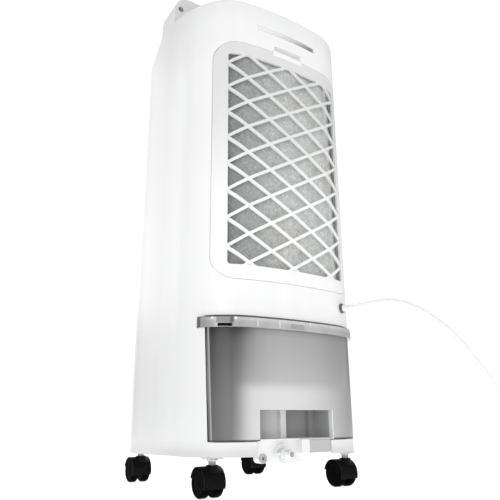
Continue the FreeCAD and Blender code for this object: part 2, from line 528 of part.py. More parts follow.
db = box(-16, 65.7, GRIP_PAD + 0.4, 160, 43.5, TANK_Z0)
db = try_fillet(db, [4, 3], lambda e: abs(abs(e.tangentAt(e.FirstParameter).y) - 1) < 1e-6 and e.CenterOfMass.z < 50)
DV = (23.7, 56.2)
db = db.cut(box(50.0, 70, 120, 170, 40, 53.0))
db = fuse([db, cyl(6.8, (57.0, 146, 50.5), (0, 1, 0), 14)])
db = db.cut(cyl(10.1, (DV[0], 140, DV[1]), (0, 1, 0), 30)).cut(cyl(5.1, (57.0, 145, 50.5), (0, 1, 0), 20))
db = fuse([db, box(-GRIP_X + 0.3, 2.6, GRIP_Y + 0.4, 164.5, TANK_Z0 - 0.2, TANK_Z0 + 2.2).common(plan(4, 60, 90)), box(2.0, GRIP_X - 0.3, GRIP_PAD + 0.4, 164.5, TANK_Z0 - 0.2, TANK_Z0 + 2.2).common(plan(4, 60, 90)),
           box(-19.5, -5.0, 150, 200, 56.5, TANK_Z0 + 1.0).common(plan(1.5, 50, 80))])
put("drain_block", one(db))
collar = cyl(14.0, (DV[0], 162.3, DV[1]), (0, 1, 0), 2.7).cut(cyl(12.0, (DV[0], 160, DV[1]), (0, 1, 0), 10)).cut(box(DV[0] - 30, DV[0] - 3, 150, 180, DV[1] - 30, DV[1] + 30))
sp = fuse([cyl(10.0, (DV[0], 140.5, DV[1]), (0, 1, 0), 20), cyl(14.0, (DV[0], 160.05, DV[1]), (0, 1, 0), 2.5), cyl(4.7, (DV[0], 160, DV[1]), (0, 1, 0), 11.5), cyl(5.2, (DV[0], 171.5, DV[1]), (0, 1, 0), 13.0), collar])
sp = sp.cut(cyl(2.6, (DV[0], 150, DV[1]), (0, 1, 0), 40)).cut(cyl(3.9, (DV[0], 176.5, DV[1]), (0, 1, 0), 20))
put("drain_spigot", one(sp))
kn = cyl(7.6, (DV[0], 163.2, DV[1]), (0, 1, 0), 8.0)
w1 = box(DV[0] - 17, DV[0] + 17, 165.5, 170.6, DV[1] - 1.7, DV[1] + 1.7)
kn = fuse([kn, w1]).cut(cyl(4.76, (DV[0], 150, DV[1]), (0, 1, 0), 40))
put("drain_knob", one(kn))
put("overflow_plug", one(fuse([cyl(5.0, (57.0, 146, 50.5), (0, 1, 0), 14.5), cyl(6.2, (57.0, 160.05, 50.5), (0, 1, 0), 1.6)]).cut(cyl(2.2, (57.0, 158, 50.5), (0, 1, 0), 10))))

pp = fuse([rbox_z(-128, -94, 80, 118, 80, 118, 5), cyl(13, (-109, 99, 117), (0, 0, 1), 8), cyl(5.9, (HOSE_X, 100, 117), (0, 0, 1), 9)] +
          [cyl(5, (x, y, 76.6), (0, 0, 1), 4) for x in (-121, -101) for y in (87, 111)])
pp = pp.cut(box(-129, -120, 84, 86, 88, 108)).cut(box(-129, -120, 90, 92, 88, 108)).cut(cyl(4.3, (HOSE_X, 100, 116), (0, 0, 1), 20))
put("pump", one(pp))
ph = cyl(6.0, (HOSE_X, 100, 126.1), (0, 0, 1), 120.4).cut(cyl(4.4, (HOSE_X, 100, 120), (0, 0, 1), 140))
put("pump_hose", ph)

# ------------------------------------------------------------------ casters
k = 0
for sx, sy in ((1, 1), (-1, 1), (1, -1), (-1, -1)):
    k += 1
    x, y = sx * CASTER_X, sy * CASTER_Y
    wy = y - TRAIL
    stem = fuse([cyl(5.5, (x, y, 40.6), (0, 0, 1), 21), cyl(8.0, (x, y, 48.6), (0, 0, 1), 2.2)])
    cap_o = cyl(22.3, (x - 16.8, wy, 20), (1, 0, 0), 33.6)
    cap_i = cyl(20.8, (x - 20, wy, 20), (1, 0, 0), 40)
    hood = cap_o.cut(cap_i).common(yz_prism([(wy, 20), (wy + 30, 9.0), (wy + 34, 60), (wy - 22, 60), (wy - 30, 27)], x - 30, x + 30))
    web = cyl(20.9, (x - 3.4, wy, 20), (1, 0, 0), 6.8).common(box(x - 5, x + 5, wy - 30, wy + 30, 13.5, 60))
    neck = fuse([cyl(8.6, (x, y, 33), (0, 0, 1), 10.4), box(x - 3.4, x + 3.4, wy, y, 26, 41)])
    neck = neck.cut(cap_i.cut(box(x - 3.4, x + 3.4, wy - 30, wy + 30, 0, 60)))
    hood = fuse([hood, web, neck])
    hood = hood.cut(cyl(5.5, (x, y, 40.6), (0, 0, 1), 30)).cut(cyl(3.05, (x - 30, wy, 20), (1, 0, 0), 60))
    put("caster_fork_%d" % k, [one(hood), one(stem)])
    ws = []
    for s in (1, -1):
        w = cyl(WHEEL_R, (x + (4.0 if s > 0 else -16.6), wy, 20), (1, 0, 0), 12.6)
        w = try_fillet(w, [3.2, 2.5], lambda e: abs(e.CenterOfMass.x - (x + s * 16.6)) < 0.01)
        w = try_fillet(w, [3.0, 2.0, 1.2], lambda e: abs(e.CenterOfMass.x - (x + s * 4.0)) < 0.01)
        w = w.cut(cyl(13.5, (x + s * 16.6 - (1.4 if s > 0 else 0.0), wy, 20), (1, 0, 0), 1.4))
        ws.append(w)
    ws.append(cyl(3.0, (x - 12, wy, 20), (1, 0, 0), 24))
    put("wheels_%d" % k, one(fuse(ws)))

# --------------------------------------------------------------- mains cord
C0 = V(-322.0, 352.0, 0)                 # middle of the put-away coil
R_OUT, R_IN = 40.0, 27.0
ZC = CORD_D / 2 + 0.05
tip = GP + gn * 24.0
ROUTE = [tip, V(-127, 215, 284), V(-141, 248, 282), V(-156, 279, 266), V(-172, 306, 240), V(-187, 329, 206), V(-202, 347, 168),
         V(-217, 361, 129), V(-232, 373, 91), V(-248, 383, 56), V(-266, 390, 26), V(-287, 392.5, 7), V(-308, 392, ZC), V(C0.x - 4, C0.y + R_OUT, ZC)]
TAIL = [V(C0.x + 6, C0.y + R_OUT, ZC + CORD_D), V(C0.x - 20, C0.y + R_OUT + 0.5, ZC + CORD_D), V(C0.x - 44, C0.y + R_OUT + 1.5, 8.4), V(C0.x - 68, C0.y + R_OUT + 2, 7.2)]


def tube(points, d):
    edges = []
    last = points[0]
    length = 0.0
    for i in range(1, len(points) - 1):
        a, b, c = points[i - 1], points[i], points[i + 1]
        u = (b - a)
        v = (c - b)
        l1, l2 = u.Length, v.Length
        u = u * (1 / l1)
        v = v * (1 / l2)
        turn = math.acos(max(-1, min(1, u.dot(v))))
        t = 0.45 * min(l1, l2)
        rad = t / math.tan(turn / 2)
        p, q = b - u * t, b + v * t
        bis = (v - u)
        bis.normalize()
        mid = b + bis * (rad / math.cos(turn / 2) - rad)
        edges.append(Part.LineSegment(last, p).toShape())
        edges.append(Part.Arc(p, mid, q).toShape())
        print("  arc %d radius %.1f turn %.1f run %.1f" % (i, rad, math.degrees(turn), l1))
        last = q
    edges.append(Part.LineSegment(last, points[-1]).toShape())
    w = Part.Wire(edges)
    d0 = points[1] - points[0]
    c = Part.Wire(Part.makeCircle(d / 2, points[0], d0))
    s = w.makePipeShell([c], True, False)
    print("  length %.1f volume %.1f section x length %.1f" % (w.Length, s.Volume, w.Length * math.pi * d * d / 4))
    return s, w.Length


coil = cyl(R_OUT + CORD_D / 2 + 0.15, (C0.x, C0.y, 0.05), (0, 0, 1), 2 * CORD_D).cut(cyl(R_IN - CORD_D / 2 - 0.15, (C0.x, C0.y, -5), (0, 0, 1), 30))
coil = coil.makeFillet(3.0, [e for e in coil.Edges if len(e.Vertexes) == 1])
put("cord_coil", one(coil))
t1, L1 = tube(ROUTE, CORD_D)
t2, L2 = tube(TAIL, CORD_D)
t1 = t1.cut(coil)
t2 = t2.cut(coil)
put("cord", [one(t1), one(t2)])
turns = 6.0
print("cord length", L1 + L2 + turns * math.pi * (R_OUT + R_IN))
e = TAIL[-1]
pl = Part.makeCone(4.2, 6.0, 22, e, V(-1, 0, 0))
bd = box(e.x - 64, e.x - 21, e.y - 13.0, e.y + 13.0, 0.2, 14.2)
bd = bd.makeFillet(4.0, bd.Edges)
bd = bd.common(box(e.x - 56, e.x, e.y - 20, e.y + 20, -5, 30))
bd = try_fillet(bd, [0.8, 0.5], lambda g: abs(g.CenterOfMass.x - (e.x - 56)) < 0.01)
pins = [cyl(2.0, (e.x - 55, e.y + t, 7.2), (-1, 0, 0), 20.0) for t in (-9.5, 9.5)]
put("plug", one(fuse([pl, bd] + pins)))

print("gland", GP, gn)
for n_, s_ in NODES.items():
    b = s_.BoundBox
    print("%-18s solids %d vol %.1f  x %.1f..%.1f y %.1f..%.1f z %.1f..%.1f" % (n_, len(s_.Solids), s_.Volume, b.XMin, b.XMax, b.YMin, b.YMax, b.ZMin, b.ZMax))
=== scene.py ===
import json
import math

import bmesh
import bpy
from mathutils import Matrix, Vector


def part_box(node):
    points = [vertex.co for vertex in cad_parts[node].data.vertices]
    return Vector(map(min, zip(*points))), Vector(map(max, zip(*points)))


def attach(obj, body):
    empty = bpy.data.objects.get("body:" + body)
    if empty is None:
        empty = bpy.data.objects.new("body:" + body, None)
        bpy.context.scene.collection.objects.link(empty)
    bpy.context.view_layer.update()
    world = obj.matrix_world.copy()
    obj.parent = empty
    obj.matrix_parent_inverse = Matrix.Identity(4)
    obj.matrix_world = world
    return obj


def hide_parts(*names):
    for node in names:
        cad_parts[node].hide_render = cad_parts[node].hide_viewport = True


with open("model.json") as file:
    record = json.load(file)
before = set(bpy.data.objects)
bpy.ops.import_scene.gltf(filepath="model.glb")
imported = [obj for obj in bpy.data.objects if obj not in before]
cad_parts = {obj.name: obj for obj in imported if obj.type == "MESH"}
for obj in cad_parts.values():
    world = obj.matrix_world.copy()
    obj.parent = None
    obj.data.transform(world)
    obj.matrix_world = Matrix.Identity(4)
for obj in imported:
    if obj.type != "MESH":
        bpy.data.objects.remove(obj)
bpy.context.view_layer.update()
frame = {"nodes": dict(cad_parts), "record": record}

N = frame["nodes"]
SC = bpy.context.scene
COL = SC.collection
MM = 0.001


def link(o):
    COL.objects.link(o)
    return o


# ------------------------------------------------------------------ camera
yaw, pitch, roll = 0.5677, 0.3001, -0.0065
d = Vector((-math.sin(yaw) * math.cos(pitch), -math.cos(yaw) * math.cos(pitch), math.sin(pitch)))
rt = d.cross(Vector((0, 0, 1))).normalized()
up = rt.cross(d)
r2 = rt * math.cos(roll) + up * math.sin(roll)
u2 = -rt * math.sin(roll) + up * math.cos(roll)
cam = bpy.data.cameras.new("camera")
cam.sensor_width = 36.0
cam.lens = 39.5796
cam.clip_start, cam.clip_end = 0.01, 60.0
cam_o = link(bpy.data.objects.new("camera", cam))
loc = Vector((0.5121641, 0.8441297, 0.1021419))
cam_o.matrix_world = Matrix(((r2.x, u2.x, -d.x, loc.x), (r2.y, u2.y, -d.y, loc.y), (r2.z, u2.z, -d.z, loc.z), (0, 0, 0, 1)))
SC.camera = cam_o
SC.view_settings.view_transform = "Standard"


# --------------------------------------------------------------- materials
class NT:
    """small helper around one material's node tree"""

    def __init__(self, name):
        self.m = bpy.data.materials.new(name)
        self.m.use_nodes = True
        self.t = self.m.node_tree
        self.p = self.t.nodes["Principled BSDF"]
        self.out = self.t.nodes["Material Output"]
        self.obj = self.new("ShaderNodeTexCoord").outputs["Object"]

    def new(self, kind, **kw):
        n = self.t.nodes.new(kind)
        for k, v in kw.items():
            setattr(n, k, v)
        return n

    def link(self, a, b):
        self.t.links.new(a, b)

    def noise(self, scale, detail=3.0, rough=0.55, vec=None, distortion=0.0):
        n = self.new("ShaderNodeTexNoise")
        n.inputs["Scale"].default_value = scale
        n.inputs["Detail"].default_value = detail
        n.inputs["Roughness"].default_value = rough
        n.inputs["Distortion"].default_value = distortion
        self.link(vec or self.obj, n.inputs["Vector"])
        return n.outputs["Fac"]

    def ramp(self, fac, stops, interp="LINEAR"):
        n = self.new("ShaderNodeValToRGB")
        n.color_ramp.interpolation = interp
        e = n.color_ramp.elements
        while len(e) > 1:
            e.remove(e[-1])
        e[0].position, e[0].color = stops[0][0], tuple(stops[0][1]) + (1,)
        for p, c in stops[1:]:
            x = e.new(p)
            x.color = tuple(c) + (1,)
        self.link(fac, n.inputs["Fac"])
        return n.outputs["Color"]

    def maprange(self, v, a, b, c, e, smooth=False):
        n = self.new("ShaderNodeMapRange")
        if smooth:
            n.interpolation_type = "SMOOTHSTEP"
        n.inputs["From Min"].default_value = a
        n.inputs["From Max"].default_value = b
        n.inputs["To Min"].default_value = c
        n.inputs["To Max"].default_value = e
        self.link(v, n.inputs["Value"])
        return n.outputs["Result"]

    def math(self, op, a, b=None):
        n = self.new("ShaderNodeMath", operation=op)
        for i, v in enumerate((a, b)):
            if v is None:
                continue
            if isinstance(v, (int, float)):
                n.inputs[i].default_value = v
            else:
                self.link(v, n.inputs[i])
        return n.outputs[0]

    def mix(self, fac, a, b, blend="MIX"):
        n = self.new("ShaderNodeMix", data_type="RGBA", blend_type=blend)
        for i, v in ((0, fac), (6, a), (7, b)):
            if isinstance(v, (int, float)):
                n.inputs[i].default_value = v
            elif isinstance(v, tuple):
                n.inputs[i].default_value = v + (1,)
            else:
                self.link(v, n.inputs[i])
        return n.outputs[2]

    def xyz(self):
        s = self.new("ShaderNodeSeparateXYZ")
        self.link(self.obj, s.inputs[0])
        return s.outputs

    def bump(self, height, strength, distance, normal=None):
        b = self.new("ShaderNodeBump")
        b.inputs["Strength"].default_value = strength
        b.inputs["Distance"].default_value = distance
        self.link(height, b.inputs["Height"])
        if normal is not None:
            self.link(normal, b.inputs["Normal"])
        return b.outputs["Normal"]

    def edge(self, radius):
        b = self.new("ShaderNodeBevel")
        b.samples = 8
        b.inputs["Radius"].default_value = radius
        return b.outputs["Normal"]

    def base(self, v):
        self.link(v, self.p.inputs["Base Color"])

    def rough(self, v):
        if isinstance(v, (int, float)):
            self.p.inputs["Roughness"].default_value = v
        else:
            self.link(v, self.p.inputs["Roughness"])

    def normal(self, v):
        self.link(v, self.p.inputs["Normal"])

    def set(self, name, v):
        self.p.inputs[name].default_value = v


def plastic(name, dark, light, rough=0.42, grain=900.0, depth=0.00004, strength=0.25, edge=0.0005, coat=0.0, spec=0.5, sss=0.0, tone=7.0, flush=()):
    """moulded plastic: slow tone drift, fine spark-eroded grain and softened edges; flush lists heights where two mouldings meet
    without a rounded edge"""
    m = NT(name)
    slow = m.noise(tone, 4.0, 0.6)
    m.base(m.ramp(slow, [(0.30, dark), (0.70, light)]))
    m.rough(m.maprange(m.noise(55.0, 3.0), 0.3, 0.7, rough - 0.05, rough + 0.06))
    n = m.edge(edge) if edge else None
    if n is not None and flush:
        z = m.xyz()[2]
        plain = None
        for a, b in flush:
            f = m.math("MULTIPLY", m.maprange(z, a - 0.0001, a, 0.0, 1.0), m.maprange(z, b, b + 0.0001, 1.0, 0.0))
            plain = f if plain is None else m.math("MAXIMUM", plain, f)
        mx_ = m.new("ShaderNodeMix", data_type="VECTOR")
        m.link(plain, mx_.inputs[0])
        m.link(n, mx_.inputs[4])
        m.link(m.new("ShaderNodeNewGeometry").outputs["Normal"], mx_.inputs[5])
        n = mx_.outputs[1]
    m.normal(m.bump(m.noise(grain, 2.0, 0.7), strength, depth, n))
    m.set("Specular IOR Level", spec)
    if coat:
        m.set("Coat Weight", coat)
        m.set("Coat Roughness", 0.12)
    if sss:
        m.set("Subsurface Weight", sss)
        m.set("Subsurface Radius", (0.004, 0.004, 0.004))
    return m.m


def grey(v):
    return (v, v, v)


M = {}
FLUSH = ((0.0715, 0.0748), (0.7885, 0.7915))
M["body_white"] = plastic("white_shell", (0.872, 0.875, 0.880), (0.905, 0.907, 0.910), 0.40, flush=FLUSH)
M["cover_white"] = plastic("white_cover", (0.885, 0.888, 0.892), (0.925, 0.926, 0.928), 0.38)
M["front_white"] = plastic("white_front", (0.860, 0.864, 0.872), (0.890, 0.892, 0.896), 0.40, strength=0.12, flush=FLUSH)
M["button_white"] = plastic("button_white", (0.80, 0.81, 0.82), (0.86, 0.865, 0.87), 0.30, edge=0.0004)
M["duct_white"] = plastic("duct_white", (0.70, 0.71, 0.71), (0.76, 0.765, 0.77), 0.50, edge=0)
M["inner_grey"] = plastic("inner_grey", (0.33, 0.34, 0.35), (0.40, 0.405, 0.41), 0.48, edge=0.0003)
M["drain_white"] = plastic("drain_white", (0.80, 0.805, 0.81), (0.85, 0.852, 0.855), 0.36, edge=0.0004, sss=0.12)
M["motor_grey"] = plastic("motor_dark", (0.035, 0.037, 0.04), (0.06, 0.062, 0.066), 0.45, edge=0.0004)
M["plug_grey"] = plastic("plug_grey", (0.40, 0.41, 0.42), (0.52, 0.53, 0.54), 0.45, edge=0.0004)


def cast_plate():
    m = NT("zinc_steel")
    m.base(m.ramp(m.noise(180.0, 4.0, 0.7), [(0.3, (0.42, 0.43, 0.44)), (0.7, (0.66, 0.67, 0.68))]))
    m.rough(m.maprange(m.noise(420.0, 3.0), 0.3, 0.7, 0.20, 0.42))
    m.set("Metallic", 1.0)
    m.normal(m.bump(m.noise(700.0, 2.0), 0.25, 0.00005, m.edge(0.0003)))
    return m.m


M["steel"] = cast_plate()


def bright_zinc():
    m = NT("bright_zinc")
    m.base(m.ramp(m.noise(260.0, 4.0, 0.7), [(0.3, (0.66, 0.665, 0.67)), (0.7, (0.84, 0.845, 0.85))]))
    m.rough(m.maprange(m.noise(420.0, 3.0), 0.3, 0.7, 0.34, 0.48))
    m.set("Metallic", 0.55)
    m.normal(m.bump(m.noise(700.0, 2.0), 0.25, 0.00005, m.edge(0.0003)))
    return m.m


M["bright_zinc"] = bright_zinc()


def caster_black(name, dark, light, rough, edge, sheen):
    m = NT(name)
    m.base(m.ramp(m.noise(60.0, 4.0, 0.65), [(0.32, dark), (0.70, light)]))
    m.rough(m.maprange(m.noise(260.0, 4.0, 0.7), 0.3, 0.7, rough - 0.08, rough + 0.10))
    m.normal(m.bump(m.noise(1500.0, 2.0, 0.8), 0.35, 0.00006, m.edge(edge)))
    m.set("Specular IOR Level", sheen)
    return m.m


M["caster_black"] = caster_black("caster_nylon", (0.0012, 0.0012, 0.0014), (0.0040, 0.0040, 0.0043), 0.34, 0.0008, 0.07)
M["wheel_black"] = caster_black("caster_tyre", (0.0006, 0.0006, 0.0007), (0.0020, 0.0020, 0.0022), 0.52, 0.0006, 0.015)


def panel_black():
    m = NT("panel_gloss")
    m.base(m.ramp(m.noise(14.0, 4.0), [(0.3, grey(0.010)), (0.7, grey(0.018))]))
    m.rough(m.maprange(m.noise(38.0, 6.0, 0.7), 0.35, 0.75, 0.07, 0.19))
    m.normal(m.bump(m.noise(30.0, 2.0), 0.10, 0.0001, m.edge(0.0004)))
    m.set("Coat Weight", 0.6)
    m.set("Coat Roughness", 0.05)
    return m.m


M["panel_black"] = panel_black()


def display():
    m = NT("display_glass")
    m.base(m.ramp(m.noise(22.0, 3.0), [(0.3, (0.012, 0.014, 0.018)), (0.7, (0.022, 0.026, 0.032))]))
    m.rough(m.maprange(m.noise(60.0, 4.0), 0.3, 0.7, 0.04, 0.10))
    m.set("Coat Weight", 1.0)
    m.set("Coat Roughness", 0.03)
    return m.m


M["display"] = display()


def smoke():
    """smoke tinted tank, made opaque: the dark corner and the darkening towards the top under the rim are painted
    shade; the paler middle, the hood seen low down and the recess tones are fitted base colours by place, not
    transparency, and the recess and edge lines carry painted light and shade"""
    m = NT("smoke_tank")
    x, y, z = m.xyz()

    def by_x(stops):
        return m.ramp(m.maprange(x, -0.140, 0.140, 0.0, 1.0), [((a + 140.0) / 280.0, grey(v)) for a, v in stops])

    def by_z(stops):
        return m.ramp(m.maprange(z, 0.070, 0.245, 0.0, 1.0), [((a - 70.0) / 175.0, grey(v)) for a, v in stops])

    def scale(c, k):
        n = m.new("ShaderNodeVectorMath", operation="SCALE")
        m.link(c, n.inputs[0])
        if isinstance(k, (int, float)):
            n.inputs["Scale"].default_value = k
        else:
            m.link(k, n.inputs["Scale"])
        return n.outputs[0]

    def span(v, a, b, soft):
        """1 between a and b, soft at both ends"""
        return m.math("MULTIPLY", m.maprange(v, a - soft, a + soft, 0.0, 1.0, True), m.maprange(v, b - soft, b + soft, 1.0, 0.0, True))

    # painted shade: the x ramp darkens the tank towards its +x corner, and the two height ramps darken it towards the
    # top under the rim, most at +x
    side_shade = by_x([(-140, 0.22), (-117, 0.22), (-113, 0.29), (-105, 0.320), (-90, 0.315), (-70, 0.335), (-50, 0.365), (-30, 0.392), (-10, 0.400), (10, 0.412),
                 (30, 0.412), (50, 0.390), (70, 0.335), (85, 0.250), (94, 0.168), (106, 0.098), (122, 0.062), (132, 0.058), (134.5, 0.15), (140, 0.17)])
    near = by_z([(70, 1.0), (130, 0.93), (160, 0.78), (190, 0.555), (205, 0.50), (220, 0.33), (228, 0.16), (245, 0.12)])
    far = by_z([(70, 0.66), (130, 0.66), (160, 0.59), (190, 0.525), (205, 0.50), (220, 0.475), (229, 0.40), (245, 0.34)])
    shade_fall = m.mix(m.maprange(x, 0.062, 0.108, 0.0, 1.0, True), far, near)
    c = scale(m.mix(1.0, side_shade, shade_fall, "MULTIPLY"), 1.92)
    hood = by_x([(-140, 0.30), (-108, 0.335), (-90, 0.400), (-70, 0.485), (-50, 0.555), (-30, 0.600), (-10, 0.655), (20, 0.685), (60, 0.675), (76, 0.640), (90, 0.520), (104, 0.36), (140, 0.2)])
    seen = m.math("MULTIPLY", m.maprange(z, 0.138, 0.160, 1.0, 0.0, True), m.maprange(x, 0.080, 0.108, 1.0, 0.0, True))
    c = m.mix(seen, c, hood)
    # painted highlight: a thin bright line along the corner; painted shade: a dark foot line; the dark far edge beyond
    # the corner is painted shade in the x ramp above
    run = m.math("SUBTRACT", x, m.maprange(z, 0.074, 0.2315, 0.1320, 0.1370))
    c = m.mix(span(run, -0.0030, -0.0014, 0.0006), c, (0.36, 0.365, 0.37))
    c = m.mix(m.math("MULTIPLY", m.maprange(z, 0.0752, 0.0768, 1.0, 0.0, True), 0.85), c, (0.045, 0.046, 0.048))
    # inside of the grip recess: painted light and shade on its walls, with dark bands and a pale lit rib face
    rec = m.math("MULTIPLY", m.maprange(y, 0.1585, 0.1605, 1.0, 0.0), m.math("MULTIPLY", m.maprange(z, 0.1190, 0.1196, 1.0, 0.0), m.maprange(m.math("ABSOLUTE", x), 0.0682, 0.0686, 1.0, 0.0)))
    rec = m.math("MULTIPLY", rec, m.maprange(y, 0.1195, 0.1205, 0.0, 1.0))
    recess_light_shade = by_x([(-140, 0.40), (-57, 0.40), (-56, 0.26), (-50, 0.26), (-49, 0.35), (-2, 0.30), (-1.2, 0.78), (4, 0.72), (9.2, 0.80), (9.6, 0.68), (30, 0.54), (46, 0.42), (66, 0.36), (140, 0.4)])
    c = m.mix(rec, c, recess_light_shade)
    # painted highlight along the cut edge of the tank wall at the recess
    lip_highlight = m.math("MULTIPLY", m.maprange(z, 0.1155, 0.1165, 1.0, 0.0), m.math("MULTIPLY", m.maprange(y, 0.1600, 0.1610, 0.0, 1.0), span(x, -0.0680, -0.0655, 0.0003)))
    c = m.mix(lip_highlight, c, (0.80, 0.805, 0.81))
    # painted shade: the face below the tank's floor is a flat mid grey, the shade of the pocket under the tank
    c = m.mix(m.maprange(z, 0.07385, 0.07395, 1.0, 0.0), c, (0.49, 0.495, 0.50))
    flow = m.maprange(m.noise(11.0, 3.0, 0.5), 0.3, 0.7, 0.975, 1.025)
    m.base(scale(c, flow))
    m.rough(m.maprange(m.noise(70.0, 3.0), 0.3, 0.7, 0.33, 0.38))
    m.normal(m.bump(m.noise(6.0, 2.0), 0.05, 0.0006, m.edge(0.0006)))
    m.set("IOR", 1.49)
    m.set("Specular IOR Level", 0.30)
    m.set("Coat Weight", 0.10)
    m.set("Coat Roughness", 0.12)
    return m.m


M["smoke"] = smoke()


def clear_rim():
    """clear rim: pale band under a dark top line, a dark latch slot near one end with painted shade above it, small
    blocks inside and painted highlights as glints
    """
    m = NT("clear_rim")
    x, y, z = m.xyz()

    def span(v, a, b, soft):
        return m.math("MULTIPLY", m.maprange(v, a - soft, a + soft, 0.0, 1.0, True), m.maprange(v, b - soft, b + soft, 1.0, 0.0, True))

    def area_(x0, x1, z0, z1, soft=0.0004):
        return m.math("MULTIPLY", span(x, x0, x1, soft), span(z, z0, z1, soft))

    c = m.ramp(m.maprange(z, 0.2312, 0.2476, 0.0, 1.0),
               [(0.0, grey(0.26)), (0.07, grey(0.42)), (0.40, grey(0.42)), (0.55, grey(0.46)), (0.80, grey(0.58)), (0.895, grey(0.54)), (0.93, grey(0.06)), (1.0, grey(0.08))])
    cells_ = m.noise(46.0, 1.0, 0.3)
    c = m.mix(0.30, c, m.ramp(cells_, [(0.44, grey(0.72)), (0.52, grey(1.0))]), "MULTIPLY")
    c = m.mix(area_(-0.011, 0.0137, 0.2335, 0.2412), c, grey(0.30))
    c = m.mix(area_(0.0330, 0.0344, 0.2335, 0.2445, 0.0003), c, grey(0.72))
    c = m.mix(area_(0.0700, 0.0716, 0.2335, 0.2445, 0.0003), c, grey(0.66))
    c = m.mix(m.maprange(x, 0.1290, 0.1440, 0.0, 0.62, True), c, grey(0.20))
    # painted shade above the latch slot
    c = m.mix(area_(0.1070, 0.1290, 0.2374, 0.2462, 0.0012), c, grey(0.11))
    # painted highlights: small glints on the rim
    c = m.mix(area_(0.1322, 0.1345, 0.2432, 0.2462, 0.0004), c, grey(0.92))
    c = m.mix(area_(0.1030, 0.1056, 0.2425, 0.2462, 0.0004), c, grey(0.92))
    c = m.mix(area_(-0.0250, -0.0236, 0.2420, 0.2458, 0.0004), c, grey(0.88))
    c = m.mix(m.maprange(x, 0.1448, 0.1456, 0.0, 0.85), c, grey(0.05))
    m.base(c)
    m.rough(m.maprange(m.noise(90.0, 3.0), 0.3, 0.7, 0.12, 0.22))
    m.normal(m.bump(m.noise(40.0, 2.0), 0.10, 0.0004, m.edge(0.0007)))
    m.set("Coat Weight", 0.6)
    m.set("Coat Roughness", 0.06)
    m.set("IOR", 1.5)
    return m.m


M["clear_rim"] = clear_rim()


def felt():
    """grey fibre dust filter: matted fibres over a fine square net"""
    m = NT("dust_felt")
    x, y, z = m.xyz()
    sc = m.new("ShaderNodeMapping")
    sc.inputs["Scale"].default_value = (1.0, 0.2, 1.0)
    m.link(m.obj, sc.inputs["Vector"])
    big = m.noise(26.0, 5.0, 0.62, sc.outputs[0], 0.6)
    fine = m.noise(420.0, 5.0, 0.75, sc.outputs[0], 1.5)
    a = m.ramp(big, [(0.28, (0.455, 0.466, 0.463)), (0.50, (0.500, 0.508, 0.504)), (0.72, (0.530, 0.534, 0.529))])
    b = m.ramp(fine, [(0.30, grey(0.56)), (0.52, grey(0.82)), (0.72, grey(1.0))])
    c = m.mix(1.0, a, b, "MULTIPLY")
    for turn, size, low in ((38.0, 520.0, 0.70), (-47.0, 430.0, 0.74)):
        mp = m.new("ShaderNodeMapping", vector_type="TEXTURE")
        mp.inputs["Rotation"].default_value = (0, math.radians(turn), 0)
        mp.inputs["Scale"].default_value = (1.0, 5.0, 4.0)
        m.link(m.obj, mp.inputs["Vector"])
        streak = m.noise(size, 4.0, 0.7, mp.outputs[0], 0.8)
        c = m.mix(1.0, c, m.ramp(streak, [(0.36, grey(low)), (0.50, grey(0.86)), (0.64, grey(1.0))]), "MULTIPLY")
    warm = m.ramp(m.noise(9.0, 2.0, 0.5, sc.outputs[0]), [(0.46, (0.985, 1.0, 1.0)), (0.62, (1.0, 0.985, 0.945))])
    c = m.mix(1.0, c, warm, "MULTIPLY")
    # painted shade: the filter darkens towards +x, and at -x it is lifted with painted light where the frame shades it
    shade = m.ramp(m.maprange(x, -0.115, 0.115, 0.0, 1.0), [(0.0, grey(1.0)), (0.045, grey(1.0)), (0.090, grey(0.70)), (0.50, grey(0.67)), (0.78, grey(0.49)), (1.0, grey(0.33))])
    c = m.mix(1.0, c, shade, "MULTIPLY")
    # painted light: the filter is brighter from z 0.690 upward, lifting the shade under the top of the window frame
    c = m.mix(1.0, c, m.ramp(m.maprange(z, 0.690, 0.702, 0.0, 1.0), [(0.0, grey(0.64)), (0.35, grey(0.68)), (1.0, grey(1.0))]), "MULTIPLY")
    up_ = m.new("ShaderNodeVectorMath", operation="SCALE")
    m.link(c, up_.inputs[0])
    up_.inputs["Scale"].default_value = 4.55
    m.base(up_.outputs[0])
    wx = m.new("ShaderNodeTexWave", wave_type="BANDS", bands_direction="X")
    wx.inputs["Scale"].default_value = 260.0
    wx.inputs["Distortion"].default_value = 0.6
    m.link(m.obj, wx.inputs["Vector"])
    wz = m.new("ShaderNodeTexWave", wave_type="BANDS", bands_direction="Z")
    wz.inputs["Scale"].default_value = 260.0
    wz.inputs["Distortion"].default_value = 0.6
    m.link(m.obj, wz.inputs["Vector"])
    net = m.math("MAXIMUM", wx.outputs["Fac"], wz.outputs["Fac"])
    m.rough(m.maprange(fine, 0.2, 0.8, 0.85, 1.0))
    m.normal(m.bump(net, 0.30, 0.0003, m.bump(fine, 0.8, 0.0008)))
    m.set("Specular IOR Level", 0.15)
    m.set("Sheen Weight", 0.25)
    return m.m


M["filter_grey"] = felt()


